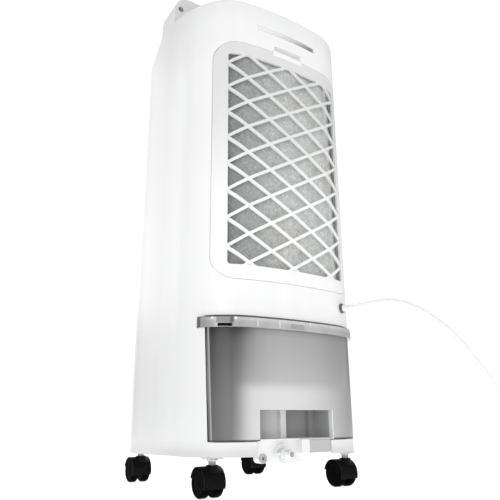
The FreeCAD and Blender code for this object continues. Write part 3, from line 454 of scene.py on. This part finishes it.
def pad():
    """kraft-brown corrugated cooling pad, flutes leaning one way"""
    m = NT("pad_flutes")
    mp = m.new("ShaderNodeMapping")
    mp.inputs["Rotation"].default_value = (0, math.radians(38), 0)
    m.link(m.obj, mp.inputs["Vector"])
    w = m.new("ShaderNodeTexWave", wave_type="BANDS", bands_direction="Z")
    w.inputs["Scale"].default_value = 46.0
    w.inputs["Distortion"].default_value = 1.2
    w.inputs["Detail Scale"].default_value = 3.0
    m.link(mp.outputs[0], w.inputs["Vector"])
    # painted shade: the flute troughs are coloured far darker than the kraft brown of the crests
    c = m.ramp(w.outputs["Fac"], [(0.15, (0.055, 0.036, 0.020)), (0.55, (0.24, 0.165, 0.095)), (0.85, (0.36, 0.26, 0.16))])
    m.base(m.mix(0.4, c, m.ramp(m.noise(60.0, 4.0), [(0.3, grey(0.5)), (0.7, grey(1.0))]), "MULTIPLY"))
    m.rough(m.maprange(m.noise(120.0, 3.0), 0.3, 0.7, 0.75, 0.95))
    m.normal(m.bump(w.outputs["Fac"], 0.9, 0.003))
    return m.m


M["pad_brown"] = pad()


def rubber(name, dark, light, rough=0.55, rings=None):
    m = NT(name)
    m.base(m.ramp(m.noise(90.0, 4.0), [(0.3, dark), (0.7, light)]))
    m.rough(m.maprange(m.noise(200.0, 3.0), 0.3, 0.7, rough - 0.06, rough + 0.08))
    m.normal(m.bump(m.noise(1100.0, 2.0), 0.3, 0.00005, m.edge(0.0003)))
    m.set("Specular IOR Level", 0.35)
    return m.m


M["gland_grey"] = rubber("gland_rubber", (0.075, 0.078, 0.082), (0.13, 0.135, 0.14), 0.50)
M["cord_white"] = rubber("cord_pvc", (0.90, 0.903, 0.906), (0.94, 0.942, 0.944), 0.42)
M["dark_rubber"] = rubber("stopper_rubber", (0.30, 0.305, 0.31), (0.46, 0.465, 0.47), 0.40)
M["hose"] = rubber("hose_pvc", (0.50, 0.53, 0.53), (0.62, 0.65, 0.65), 0.25)
M["tie_black"] = rubber("tie_black", (0.015, 0.015, 0.016), (0.03, 0.03, 0.032), 0.40)


def board():
    m = NT("circuit_board")
    v = m.new("ShaderNodeTexVoronoi", feature="DISTANCE_TO_EDGE")
    v.inputs["Scale"].default_value = 190.0
    m.link(m.obj, v.inputs["Vector"])
    m.base(m.ramp(v.outputs["Distance"], [(0.02, (0.30, 0.22, 0.06)), (0.06, (0.012, 0.075, 0.030)), (0.5, (0.018, 0.10, 0.042))]))
    m.rough(m.maprange(m.noise(80.0, 3.0), 0.3, 0.7, 0.32, 0.5))
    return m.m


M["pcb"] = board()


def printed(name, c1, c2, emit=0.0):
    m = NT(name)
    m.base(m.ramp(m.noise(400.0, 2.0), [(0.3, c1), (0.7, c2)]))
    m.rough(m.maprange(m.noise(300.0, 2.0), 0.3, 0.7, 0.35, 0.5))
    return m.m


M["ink_white"] = printed("ink_white", grey(0.62), grey(0.74))
M["ink_grey"] = printed("ink_grey", grey(0.16), grey(0.21))
M["segment"] = printed("segment_blue", (0.30, 0.62, 0.78), (0.40, 0.72, 0.86))
M["slot_black"] = printed("slot_black", grey(0.002), grey(0.004))
M["slot_black"].node_tree.nodes["Principled BSDF"].inputs["Specular IOR Level"].default_value = 0.05

for sub in frame["record"]["subparts"]:
    o = N[sub["node"]]
    for s in (o.material_slots or []):
        s.material = M[sub["material_slot"]]
    if not o.material_slots:
        o.data.materials.append(M[sub["material_slot"]])


def head_white():
    """head shell: its flat rear face is painted darker as painted shade of the moulding, and the screw recesses are
    painted shade too
    """
    m = NT("white_head")
    x, y, z = m.xyz()
    tone = m.ramp(m.noise(7.0, 4.0, 0.6), [(0.30, (0.860, 0.864, 0.872)), (0.70, (0.900, 0.902, 0.906))])
    # painted shade: the flat rear face, from y 0.0186 back, is a darker grey
    c = m.mix(m.maprange(y, 0.0183, 0.0189, 0.0, 1.0), tone, (0.69, 0.693, 0.697))
    # painted shade: darker grey round the screw recesses of the head
    ax_ = m.math("SUBTRACT", m.math("ABSOLUTE", x), 0.143)
    az_ = m.math("SUBTRACT", z, 0.876)
    rad = m.math("POWER", m.math("ADD", m.math("MULTIPLY", ax_, ax_), m.math("MULTIPLY", az_, az_)), 0.5)
    deep = m.math("MULTIPLY", m.maprange(rad, 0.0057, 0.0060, 1.0, 0.0), m.maprange(y, 0.0182, 0.0185, 1.0, 0.0))
    m.base(m.mix(deep, c, (0.58, 0.582, 0.585)))
    m.rough(m.maprange(m.noise(55.0, 3.0), 0.3, 0.7, 0.27, 0.36))
    m.normal(m.bump(m.noise(900.0, 2.0, 0.7), 0.25, 0.00004, m.edge(0.0005)))
    m.set("Coat Weight", 0.25)
    m.set("Coat Roughness", 0.12)
    return m.m


def lit_pocket():
    """white grip pocket; its weak emission is painted light, not a lamp, and its darker end is painted
    shade; white grip pocket; its weak emission and end shade are fitted tones, not a real glow
    """
    m = NT("white_pocket")
    x = m.xyz()[0]
    m.base(m.ramp(m.maprange(x, -0.080, 0.080, 0.0, 1.0), [(0.0, grey(0.56)), (0.16, grey(0.62)), (0.34, grey(0.86)), (0.9, grey(0.95))]))
    m.rough(m.maprange(m.noise(55.0, 3.0), 0.3, 0.7, 0.42, 0.50))
    m.set("Emission Color", (1, 1, 1, 1))
    m.link(m.maprange(x, -0.070, 0.030, 0.0, 0.13, True), m.p.inputs["Emission Strength"])
    return m.m


def recess_grey():
    """screw heads, coloured dark grey as painted shade of the recess they sit in"""
    return rubber("screw_zinc", (0.13, 0.132, 0.135), (0.22, 0.222, 0.225), 0.35)


def height_white(name, stops, rough=0.40, flush=FLUSH, front_shade=True):
    """white moulding whose base colour is a fitted shade that changes with height, so part of the shading is in the colour and not
    in the light; stops are (height mm, front grey, rear grey)"""
    m = NT(name)
    x, y, z = m.xyz()
    lo, hi = stops[0][0], stops[-1][0]
    t = m.maprange(z, lo * 0.001, hi * 0.001, 0.0, 1.0, True)
    a = m.ramp(t, [((q[0] - lo) / (hi - lo), (q[1], q[1] + 0.002, q[1] + 0.005)) for q in stops])
    b = m.ramp(t, [((q[0] - lo) / (hi - lo), (q[2], q[2] + 0.002, q[2] + 0.005)) for q in stops])
    c = m.mix(m.maprange(y, -0.020, 0.080, 0.0, 1.0, True), a, b)
    # fitted: faint streaks along the height, and painted shade darkening the part towards the front joint
    sm = m.new("ShaderNodeMapping")
    sm.inputs["Scale"].default_value = (1.0, 1.0, 0.02)
    m.link(m.obj, sm.inputs["Vector"])
    c = m.mix(1.0, c, m.ramp(m.noise(42.0, 2.0, 0.5, sm.outputs[0]), [(0.35, grey(0.982)), (0.65, grey(1.0))]), "MULTIPLY")
    if front_shade:
        c = m.mix(1.0, c, m.ramp(m.maprange(y, -0.140, -0.080, 0.0, 1.0, True), [(0.0, grey(0.94)), (1.0, grey(1.0))]), "MULTIPLY")
    else:
        c = m.mix(m.maprange(y, -0.160, -0.125, 1.0, 0.0, True), c, (0.868, 0.871, 0.877))
    c = m.mix(1.0, c, m.ramp(m.noise(7.0, 4.0, 0.6), [(0.30, grey(0.985)), (0.70, grey(1.0))]), "MULTIPLY")
    m.base(c)
    m.rough(m.maprange(m.noise(55.0, 3.0), 0.3, 0.7, rough - 0.05, rough + 0.05))
    n = m.edge(0.0005)
    if flush:
        plain = None
        for u, v in flush:
            f = m.math("MULTIPLY", m.maprange(z, u - 0.0001, u, 0.0, 1.0), m.maprange(z, v, v + 0.0001, 1.0, 0.0))
            plain = f if plain is None else m.math("MAXIMUM", plain, f)
        mx_ = m.new("ShaderNodeMix", data_type="VECTOR")
        m.link(plain, mx_.inputs[0])
        m.link(n, mx_.inputs[4])
        m.link(m.new("ShaderNodeNewGeometry").outputs["Normal"], mx_.inputs[5])
        n = mx_.outputs[1]
    m.normal(m.bump(m.noise(900.0, 2.0, 0.7), 0.25, 0.00004, n))
    return m.m


for node, mat in (("base_tray", height_white("white_base", [(46, 0.72, 0.64), (60, 0.745, 0.69), (73, 0.80, 0.81)], front_shade=False)),
                  ("rear_housing", height_white("white_shell_grad", [(73, 0.80, 0.84), (150, 0.855, 0.86), (240, 0.87, 0.92), (300, 0.872, 0.93), (480, 0.855, 0.93), (620, 0.82, 0.92), (760, 0.81, 0.93), (825, 0.81, 0.89), (842, 0.82, 0.83)])),
                  ("filter_cover", height_white("white_cover_grad", [(300, 0.93, 0.93), (420, 0.92, 0.92), (600, 0.80, 0.79), (720, 0.77, 0.75)], 0.38, ())),
                  ("control_head", head_white()), ("handle_pocket", lit_pocket()), ("head_screws", recess_grey())):
    for s_ in N[node].material_slots:
        s_.material = mat


# ------------------------------------------------------------ piece makers
def piece(name, bm, body, mat, smooth=35.0, replaces=(), origin=True):
    me = bpy.data.meshes.new(name)
    bm.normal_update()
    bm.to_mesh(me)
    bm.free()
    me.polygons.foreach_set("use_smooth", [True] * len(me.polygons))
    if smooth < 179:
        me.set_sharp_from_angle(angle=math.radians(smooth))
    me.materials.append(mat)
    o = link(bpy.data.objects.new(name, me))
    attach(o, body)
    if replaces:
        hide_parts(*replaces)
    return o


def islands(node):
    """the separate solids of a CAD node, each as its own bmesh"""
    bm = bmesh.new()
    bm.from_mesh(N[node].data)
    bmesh.ops.remove_doubles(bm, verts=bm.verts, dist=2e-6)
    seen, groups = set(), []
    for v in bm.verts:
        if v.index in seen:
            continue
        stack, group = [v], []
        seen.add(v.index)
        while stack:
            w = stack.pop()
            group.append(w.index)
            for e in w.link_edges:
                q = e.other_vert(w)
                if q.index not in seen:
                    seen.add(q.index)
                    stack.append(q)
        groups.append(group)
    out = []
    for g in groups:
        keep = set(g)
        c = bm.copy()
        c.verts.ensure_lookup_table()
        bmesh.ops.delete(c, geom=[v for v in c.verts if v.index not in keep], context="VERTS")
        lo = Vector([min(v.co[i] for v in c.verts) for i in range(3)])
        hi = Vector([max(v.co[i] for v in c.verts) for i in range(3)])
        out.append((c, lo, hi))
    bm.free()
    return out


def join(parts):
    out = bmesh.new()
    tmp = []
    for b in parts:
        me = bpy.data.meshes.new("tmp")
        b.to_mesh(me)
        out.from_mesh(me)
        tmp.append(me)
        b.free()
    for me in tmp:
        bpy.data.meshes.remove(me)
    return out


def revolve(bm, prof, mat4, seg=48, cap=True):
    """profile of (radius, height) turned about local Z and placed by mat4"""
    rings = []
    for r, h in prof:
        rings.append([bm.verts.new(mat4 @ Vector((r * math.cos(2 * math.pi * i / seg), r * math.sin(2 * math.pi * i / seg), h))) for i in range(seg)])
    for a, b in zip(rings, rings[1:]):
        for i in range(seg):
            bm.faces.new((a[i], a[(i + 1) % seg], b[(i + 1) % seg], b[i]))
    if cap:
        bm.faces.new(list(reversed(rings[0])))
        bm.faces.new(rings[-1])
    return rings


def loft(bm, rings, cap=True):
    vs = [[bm.verts.new(p) for p in r] for r in rings]
    n = len(vs[0])
    for a, b in zip(vs, vs[1:]):
        for i in range(n):
            bm.faces.new((a[i], a[(i + 1) % n], b[(i + 1) % n], b[i]))
    if cap:
        bm.faces.new(list(reversed(vs[0])))
        bm.faces.new(vs[-1])


def fix_normals(bm):
    bmesh.ops.recalc_face_normals(bm, faces=bm.faces)
    return bm


def place(origin, z, x=(1, 0, 0)):
    z = Vector(z).normalized()
    x = Vector(x)
    x = (x - z * x.dot(z)).normalized()
    y = z.cross(x)
    return Matrix(((x.x, y.x, z.x, origin[0]), (x.y, y.y, z.y, origin[1]), (x.z, y.z, z.z, origin[2]), (0, 0, 0, 1)))


# -------------------------------------------------------------------- cord
DIA = 6.5
ZC = 3.3
ROUTE = [(-113.549, 182.023, 279.6), (-127, 215, 284), (-141, 248, 282), (-156, 279, 266), (-172, 306, 240), (-187, 329, 206),
         (-202, 347, 168), (-217, 361, 129), (-232, 373, 91), (-248, 383, 56), (-266, 390, 26), (-287, 392.5, 7), (-308, 392.6, ZC)]
CX, CY = -322.0, 352.0
TURNS, PER = 6.0, 16
coil = []
for k in range(int(TURNS * PER) + 1):
    t = k / PER
    n, f = int(t), t - int(t)
    s = min(1.0, max(0.0, (f - 0.70) / 0.30))
    s = s * s * (3 - 2 * s)
    lane = [0, 1, 2, 2, 1, 0, 0][n]
    nxt = [1, 2, 2, 1, 0, 0, 0][n]
    r = 40.0 - 6.5 * (lane + (nxt - lane) * s)
    z = ZC if n < 2 else (ZC + DIA * s if n == 2 else ZC + DIA)
    r += 0.22 * math.sin(3.1 * k + 0.7 * n)
    a = math.pi / 2 + 2 * math.pi * t
    coil.append((CX + r / 0.981 * math.cos(a), CY + r / 0.981 * math.sin(a), z + (0.12 * math.sin(1.7 * k) if n > 2 else 0.0)))
TAIL = [(-342, 392.5, ZC + DIA), (-366, 393.5, 8.4), (-390, 394, 7.2)]
pts = [Vector(p) * MM for p in ROUTE + coil + TAIL]
cu = bpy.data.curves.new("mains_cord", "CURVE")
cu.dimensions = "3D"
sp = cu.splines.new("NURBS")
sp.points.add(len(pts) - 1)
for i, p in enumerate(pts):
    sp.points[i].co = (p.x, p.y, p.z, 1.0)
sp.order_u = 3
sp.use_endpoint_u = True
cu.resolution_u = 8
cu.bevel_depth = DIA / 2 * MM
cu.bevel_resolution = 5
cu.use_fill_caps = True
cord = link(bpy.data.objects.new("mains_cord", cu))
cu.materials.append(M["cord_white"])
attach(cord, "cabinet")
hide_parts("cord", "cord_coil")

# tie round the coil, with two twisted ends
bm = bmesh.new()
ta = math.radians(-38)
tr = Vector((math.cos(ta), math.sin(ta), 0))
tt = Vector((-math.sin(ta), math.cos(ta), 0))
loop = []
for x0, z0, a0 in ((41.3, 11.0, 0), (25.7, 11.0, 90), (25.7, 2.4, 180), (41.3, 2.4, 270)):
    for j in range(5):
        a = math.radians(a0 + j * 22.5)
        loop.append((x0 + 2.4 * math.cos(a), z0 + 2.4 * math.sin(a)))
rings = []
for x, z in loop + loop[:1]:
    cx, cz = 33.5, 6.7
    ux, uz = x - cx, z - cz
    ll = math.hypot(ux, uz)
    o_, i_ = 1.0, -0.2
    sec = []
    for w, t in ((-2.6, i_), (2.6, i_), (2.6, o_), (-2.6, o_)):
        px, pz = x + ux / ll * t * 0.45, max(0.12, z + uz / ll * t * 0.45)
        sec.append((Vector((CX, CY, 0)) + tr * px + tt * w + Vector((0, 0, pz))) * MM)
    rings.append(sec)
loft(bm, rings, cap=False)
for sgn in (1, -1):
    rr = []
    for j in range(9):
        u = j / 8
        c = Vector((CX, CY, 0)) + tr * (33.5 + sgn * (1.2 + 9 * u)) + tt * (sgn * 1.5 * math.sin(u * 3)) + Vector((0, 0, 13.6 - 1.6 * u * u))
        tw = u * 3.5
        rr.append([(c + tt * (2.2 * math.cos(tw) * q[0]) + Vector((0, 0, 0.45 * q[1] + 0.9 * math.sin(tw) * q[0]))) * MM for q in ((-1, -1), (1, -1), (1, 1), (-1, 1))])
    loft(bm, rr)
fix_normals(bm)
for v in bm.verts:
    v.co.z = min(v.co.z, 0.0155)
tie = piece("cord_tie", bm, "cabinet", M["tie_black"])

# moulded plug with ribbed strain relief, and its two pins
bm = bmesh.new()
PX, PY, PZ = -390.0, 394.0, 7.2


def superring(back, hw, hh, e, seg=40):
    """cross section of the plug, back mm behind the end of the cord"""
    out = []
    for i in range(seg):
        a = 2 * math.pi * i / seg
        c, s = math.cos(a), math.sin(a)
        out.append(Vector((PX - back, PY + hw * math.copysign(abs(c) ** (2 / e), c), PZ + hh * math.copysign(abs(s) ** (2 / e), s))) * MM)
    return out


sec = [superring(0.0, 3.5, 3.5, 2), superring(0.6, 4.1, 4.1, 2)]
q = 1.4
for j in range(5):
    r = 4.25 + 0.38 * j
    sec += [superring(q, r, r, 2), superring(q + 1.7, r + 0.15, r + 0.15, 2), superring(q + 2.1, r - 0.75, r - 0.75, 2), superring(q + 3.4, r - 0.65, r - 0.65, 2)]
    q += 3.9
sec += [superring(21.0, 6.0, 5.6, 2.1), superring(23.0, 8.2, 6.1, 2.3), superring(26.5, 10.9, 6.6, 2.7), superring(32.0, 12.4, 6.9, 3.2),
        superring(40.0, 12.7, 6.9, 3.6), superring(42.5, 12.2, 6.6, 3.6), superring(45.5, 12.2, 6.6, 3.6), superring(48.0, 12.8, 6.95, 3.8),
        superring(54.4, 12.95, 6.98, 4.0), superring(55.5, 12.6, 6.7, 4.0), superring(56.0, 11.6, 5.9, 4.0)]
loft(bm, sec)
fix_normals(bm)
plug = piece("plug_body", bm, "cabinet", M["cord_white"], 50, ("plug",))
bm = bmesh.new()
for t in (-9.5, 9.5):
    revolve(bm, [(1.95 * MM, -1 * MM), (1.95 * MM, 9.4 * MM), (1.88 * MM, 9.6 * MM)], place(((PX - 56) * MM, (PY + t) * MM, PZ * MM), (-1, 0, 0), (0, 0, 1)), 28)
fix_normals(bm)
pin_sleeves = piece("plug_pin_sleeves", bm, "cabinet", M["plug_grey"], 40, ("plug",))
bm = bmesh.new()
for t in (-9.5, 9.5):
    revolve(bm, [(1.99 * MM, 9.4 * MM), (1.99 * MM, 16.6 * MM), (1.9 * MM, 17.6 * MM), (1.5 * MM, 18.5 * MM), (0.7 * MM, 18.95 * MM)], place(((PX - 56) * MM, (PY + t) * MM, PZ * MM), (-1, 0, 0), (0, 0, 1)), 28)
fix_normals(bm)
pins = piece("plug_pins", bm, "cabinet", M["steel"], 40, ("plug",))

# tapered, ribbed strain relief at the housing
gn = Vector((-0.39788, 0.91744, 0))
gp = Vector((-104.0, 160.0, 279.6))
bm = bmesh.new()
glo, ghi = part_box("cord_gland")
prof = [(6.15, -6.0), (6.15, 0.6), (8.0, 0.9), (8.15, 1.6), (8.0, 3.0), (7.2, 3.9), (5.9, 4.3), (5.9, 3.0)]
revolve(bm, [(a * MM, b * MM) for a, b in prof], place(gp * MM, gn, (0, 0, 1)), 40)
fix_normals(bm)
seat = piece("cord_seat", bm, "cabinet", M["gland_grey"], 40, ("cord_gland",))
bm = bmesh.new()
prof = [(5.5, 2.6), (5.7, 4.6)]
h = 5.2
for j in range(5):
    r = 5.45 - 0.32 * j
    prof += [(r, h), (r, h + 1.9), (r - 0.8, h + 2.2), (r - 0.8, h + 3.2)]
    h += 3.6
prof += [(3.75, 23.2), (3.5, 24.0), (3.3, 24.2)]
revolve(bm, [(a * MM, b * MM) for a, b in prof], place(gp * MM, gn, (0, 0, 1)), 40)
fix_normals(bm)
gland = piece("cord_relief", bm, "cabinet", M["cord_white"], 40, ("cord_gland",))

# ---------------------------------------------------------------- casters
for k in range(1, 5):
    body, wb = "caster_%d" % k, "wheel_pair_%d" % k
    ax = [(121.3, 130.6), (-121.3, 130.6), (121.3, -130.6), (-121.3, -130.6)][k - 1]

    def is_stem(f):
        far = max(math.hypot(v.co.x / MM - ax[0], v.co.y / MM - ax[1]) for v in f.verts)
        low = min(v.co.z for v in f.verts) / MM
        return (far < 5.52 and low > 40.5) or (far < 8.06 and low > 48.4)

    for name, want, mat in (("caster_hood_%d", False, M["caster_black"]), ("caster_stem_%d", True, M["bright_zinc"])):
        bm = bmesh.new()
        bm.from_mesh(N["caster_fork_%d" % k].data)
        bmesh.ops.remove_doubles(bm, verts=bm.verts, dist=2e-6)
        bmesh.ops.delete(bm, geom=[f for f in bm.faces if is_stem(f) != want], context="FACES")
        bmesh.ops.delete(bm, geom=[v for v in bm.verts if not v.link_faces], context="VERTS")
        if not want:
            # the hood hugs its wheels: the shell outside the tread is drawn in
            wy = (ax[1] - 12.0) * MM
            for v in bm.verts:
                dy, dz = v.co.y - wy, v.co.z - 20.0 * MM
                rr_ = math.hypot(dy, dz) / MM
                if 20.7 < rr_ < 23.7 and math.hypot(v.co.x / MM - ax[0], v.co.y / MM - ax[1]) > 8.7:
                    f = (20.45 + (rr_ - 20.8) * 0.62) / rr_
                    v.co.y, v.co.z = wy + dy * f, 20.0 * MM + dz * f
        piece(name % k, bm, body, mat, 32, ("caster_fork_%d" % k,))
    lo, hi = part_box("wheels_%d" % k)
    c = (lo + hi) / 2
    bm = bmesh.new()
    for s in (1, -1):
        # hub cap set into the wheel's recess, with a raised boss and a ring groove
        revolve(bm, [(13.2 * MM, -1.2 * MM), (13.2 * MM, -0.45 * MM), (12.9 * MM, -0.2 * MM), (11.3 * MM, -0.2 * MM), (10.9 * MM, -0.7 * MM), (10.3 * MM, -0.7 * MM),
                     (9.9 * MM, -0.25 * MM), (5.4 * MM, 0.0 * MM), (4.9 * MM, -0.5 * MM), (4.4 * MM, -0.5 * MM), (4.0 * MM, 0.0 * MM), (0.6 * MM, 0.12 * MM)],
                place((c.x + s * 16.5 * MM, c.y, c.z), (s, 0, 0), (0, 0, 1)), 56)
    fix_normals(bm)
    piece("wheel_hubs_%d" % k, bm, wb, M["wheel_black"], 35)


# hairline joint between base and shell, closed flush with both
bm = bmesh.new()
bm.from_mesh(N["base_tray"].data)
bmesh.ops.remove_doubles(bm, verts=bm.verts, dist=2e-6)
bm.normal_update()
strip = []
for e in bm.edges:
    if all(abs(v.co.z - 0.0730) < 2e-5 for v in e.verts):
        for f in e.link_faces:
            if abs(f.normal.z) < 0.3:
                mid = (e.verts[0].co + e.verts[1].co) / 2
                out = Vector((mid.x, mid.y, 0))
                if f.normal.x * out.x + f.normal.y * out.y > 0 and (abs(mid.x) > 0.128 or mid.y < -0.12):
                    strip.append([v.co.copy() for v in e.verts])
                break
bm.free()
bm = bmesh.new()
for a, b in strip:
    q = [bm.verts.new(a), bm.verts.new(b), bm.verts.new(b + Vector((0, 0, 0.0004))), bm.verts.new(a + Vector((0, 0, 0.0004)))]
    f = bm.faces.new(q)
    f.normal_update()
    mid = f.calc_center_median()
    if f.normal.x * mid.x + f.normal.y * mid.y < 0:
        f.normal_flip()
bmesh.ops.remove_doubles(bm, verts=bm.verts, dist=2e-6)
print("joint strip faces", len(bm.faces))
piece("shell_joint", bm, "cabinet", N["rear_housing"].material_slots[0].material, 50)


# matte black strip let into the clear rim: painted shade standing in for the dark inside of the latch slot
bm = bmesh.new()
RC, RX = 88.72, 157.42 - 88.72
RY = 172.04 - 592.1 + (592.1 - 88.72) * math.cos(math.asin(RX / (592.1 - 88.72)))
rings = []
for k in range(15):
    x_ = 109.8 + (127.2 - 109.8) * k / 14
    ring = []
    for off, z_ in ((4.6, 232.3), (5.06, 232.3), (5.06, 236.9), (4.6, 236.9)):
        ang = math.acos((x_ - RX) / (RC + 5.0))
        ring.append(Vector((RX + (RC + off) * math.cos(ang), RY + (RC + off) * math.sin(ang), z_)) * MM)
    rings.append(ring)
loft(bm, rings)
fix_normals(bm)
piece("rim_latch_slot_shade", bm, "tank", M["slot_black"], 40)


# ------------------------------------------------------- control panel print
DECK_A = math.atan(0.10)
DO = Vector((0, -114.0, 856.6 - (114.0 - 71.0) * 0.1038)) * MM
DX = Vector((1, 0, 0))
DY = Vector((0, math.cos(DECK_A), math.sin(DECK_A)))
DZ = Vector((0, -math.sin(DECK_A), math.cos(DECK_A)))


def deck(x, y, z):
    return DO + DX * (x * MM) + DY * (y * MM) + DZ * (z * MM)


def strokes(bm, lines, z0, w=0.55, h=0.12):
    """raised printed strokes along polylines of local panel points"""
    for line, closed in lines:
        n = len(line)
        L, R = [], []
        for i in range(n):
            a = line[(i - 1) % n] if (closed or i > 0) else line[i]
            b = line[(i + 1) % n] if (closed or i < n - 1) else line[i]
            t = Vector((b[0] - a[0], b[1] - a[1])).normalized()
            nn = Vector((-t.y, t.x)) * (w / 2)
            L.append((line[i][0] + nn.x, line[i][1] + nn.y))
            R.append((line[i][0] - nn.x, line[i][1] - nn.y))
        tl = [bm.verts.new(deck(p[0], p[1], z0 + h)) for p in L]
        tr_ = [bm.verts.new(deck(p[0], p[1], z0 + h)) for p in R]
        bl = [bm.verts.new(deck(p[0], p[1], z0 - 0.02)) for p in L]
        br = [bm.verts.new(deck(p[0], p[1], z0 - 0.02)) for p in R]
        rng = range(n) if closed else range(n - 1)
        for i in rng:
            j = (i + 1) % n
            bm.faces.new((tl[i], tl[j], tr_[j], tr_[i]))
            bm.faces.new((bl[i], br[i], br[j], bl[j]))
            bm.faces.new((tl[i], bl[i], bl[j], tl[j]))
            bm.faces.new((tr_[i], tr_[j], br[j], br[i]))
        if not closed:
            bm.faces.new((tl[0], tr_[0], br[0], bl[0]))
            bm.faces.new((tl[-1], bl[-1], br[-1], tr_[-1]))


def arc(cx, cy, r, a0, a1, n=20):
    return [(cx + r * math.cos(math.radians(a0 + (a1 - a0) * i / n)), cy + r * math.sin(math.radians(a0 + (a1 - a0) * i / n))) for i in range(n + 1)]


BX = [-54.0, -18.0, 18.0, 54.0]
BY = -13.0
icons = [
    [(arc(BX[0], BY, 3.2, 125, 415, 28), False), ([(BX[0], BY + 0.4), (BX[0], BY + 4.0)], False)],
    [(arc(BX[1] + 1.7 * math.cos(math.radians(a)), BY + 1.7 * math.sin(math.radians(a)), 1.7, a - 150, a + 60, 12), False) for a in (90, 210, 330)],
    [([(BX[2] - 4 + 0.4 * i, BY + q + 0.8 * math.sin(i * 0.628)) for i in range(21)], False) for q in (-2.1, 0.0, 2.1)],
    [(arc(BX[3], BY, 3.5, 0, 360, 32)[:-1], True), ([(BX[3], BY + 2.3), (BX[3], BY), (BX[3] + 1.7, BY - 0.9)], False)],
]
for k in range(4):
    bm = bmesh.new()
    strokes(bm, icons[k], 1.3)
    fix_normals(bm)
    piece("button_icon_%d" % (k + 1), bm, "button_%d" % (k + 1), M["ink_grey"], 40)

# seven-segment read-out behind the window, and a scale of dots beside it
SEG = {"0": "abcdef", "1": "bc", "2": "abged", "3": "abgcd", "4": "fgbc", "5": "afgcd", "6": "afgedc", "7": "abc", "8": "abcdefg"}


def digit(bm, ch, x, y, w=5.0, h=9.0):
    P = {"a": ((0.4, h), (w - 0.4, h)), "b": ((w, h - 0.4), (w, h / 2 + 0.4)), "c": ((w, h / 2 - 0.4), (w, 0.4)), "d": ((0.4, 0), (w - 0.4, 0)),
         "e": ((0, h / 2 - 0.4), (0, 0.4)), "f": ((0, h - 0.4), (0, h / 2 + 0.4)), "g": ((0.4, h / 2), (w - 0.4, h / 2))}
    for s in SEG[ch]:
        a, b = P[s]
        strokes(bm, [([(x + a[0] + 0.06 * a[1], y + a[1]), (x + b[0] + 0.06 * b[1], y + b[1])], False)], -0.10, 0.95, 0.06)


bm = bmesh.new()
digit(bm, "2", -7.5, 8.5)
digit(bm, "4", 1.2, 8.5)
strokes(bm, [(arc(9.2, 16.8, 0.9, 0, 360, 14)[:-1], True)], -0.10, 0.4, 0.06)
fix_normals(bm)
piece("display_digits", bm, "cabinet", M["segment"], 40)

bm = bmesh.new()
for k in range(4):
    strokes(bm, [([(BX[k] - 3.0, -24.2), (BX[k] + 3.0, -24.2)], False)], 0.0, 0.5, 0.10)
for s in (-1, 1):
    for j in range(3):
        strokes(bm, [(arc(s * (46 + 9 * j), 13.0, 1.1, 0, 360, 16)[:-1], True)], 0.0, 0.5, 0.10)
strokes(bm, [([(-86, 27.6), (-36, 27.6)], False), ([(36, 27.6), (86, 27.6)], False)], 0.0, 0.4, 0.10)
fix_normals(bm)
piece("panel_print", bm, "cabinet", M["ink_white"], 40)

# ------------------------------------------------------------------- stage
fm = NT("stage_floor")
fm.base(fm.ramp(fm.noise(1.2, 2.0), [(0.3, grey(0.86)), (0.7, grey(0.88))]))
fm.rough(fm.maprange(fm.noise(3.0, 2.0), 0.3, 0.7, 0.8, 0.9))
fm.set("Emission Color", (1, 1, 1, 1))
fx, fy, fz = fm.xyz()
fr = fm.math("POWER", fm.math("ADD", fm.math("MULTIPLY", fx, fx), fm.math("MULTIPLY", fy, fy)), 0.5)
fm.link(fm.maprange(fr, 0.35, 1.6, 0.78, 0.60, True), fm.p.inputs["Emission Strength"])
bm = bmesh.new()
bmesh.ops.create_circle(bm, cap_ends=True, radius=14.0, segments=96)
me = bpy.data.meshes.new("floor")
bm.to_mesh(me)
bm.free()
me.materials.append(fm.m)
floor = link(bpy.data.objects.new("floor", me))
floor.location.z = -0.0002

w = bpy.data.worlds.new("studio")
SC.world = w
w.use_nodes = True
wt = w.node_tree
bg = wt.nodes["Background"]
bg.inputs["Color"].default_value = (1, 1, 1, 1)
bg.inputs["Strength"].default_value = 0.45
seen = wt.nodes.new("ShaderNodeBackground")
seen.inputs["Color"].default_value = (1, 1, 1, 1)
seen.inputs["Strength"].default_value = 1.05
lp = wt.nodes.new("ShaderNodeLightPath")
mx = wt.nodes.new("ShaderNodeMixShader")
wt.links.new(lp.outputs["Is Camera Ray"], mx.inputs[0])
wt.links.new(bg.outputs[0], mx.inputs[1])
wt.links.new(seen.outputs[0], mx.inputs[2])
wt.links.new(mx.outputs[0], wt.nodes["World Output"].inputs["Surface"])


def area(name, loc, target, size, power, size_y=None):
    l = bpy.data.lights.new(name, "AREA")
    l.shape = "RECTANGLE"
    l.size, l.size_y = size, size_y or size
    l.energy = power
    o = link(bpy.data.objects.new(name, l))
    o.location = loc
    o.rotation_mode = "QUATERNION"
    o.rotation_quaternion = (Vector(target) - Vector(loc)).to_track_quat("-Z", "Y")
    return o


area("key", (-1.6, 2.4, 1.3), (0, 0.1, 0.35), 1.8, 9)
area("fill", (2.4, 1.2, 1.0), (0, 0, 0.45), 1.6, 0.4)
area("low", (1.6, 2.0, 0.35), (0, 0.1, 0.3), 1.2, 15)
area("top", (0.0, 0.2, 3.0), (0, 0, 0.4), 2.4, 12)
area("front", (0.4, -2.6, 1.6), (0, 0, 0.5), 1.8, 14)
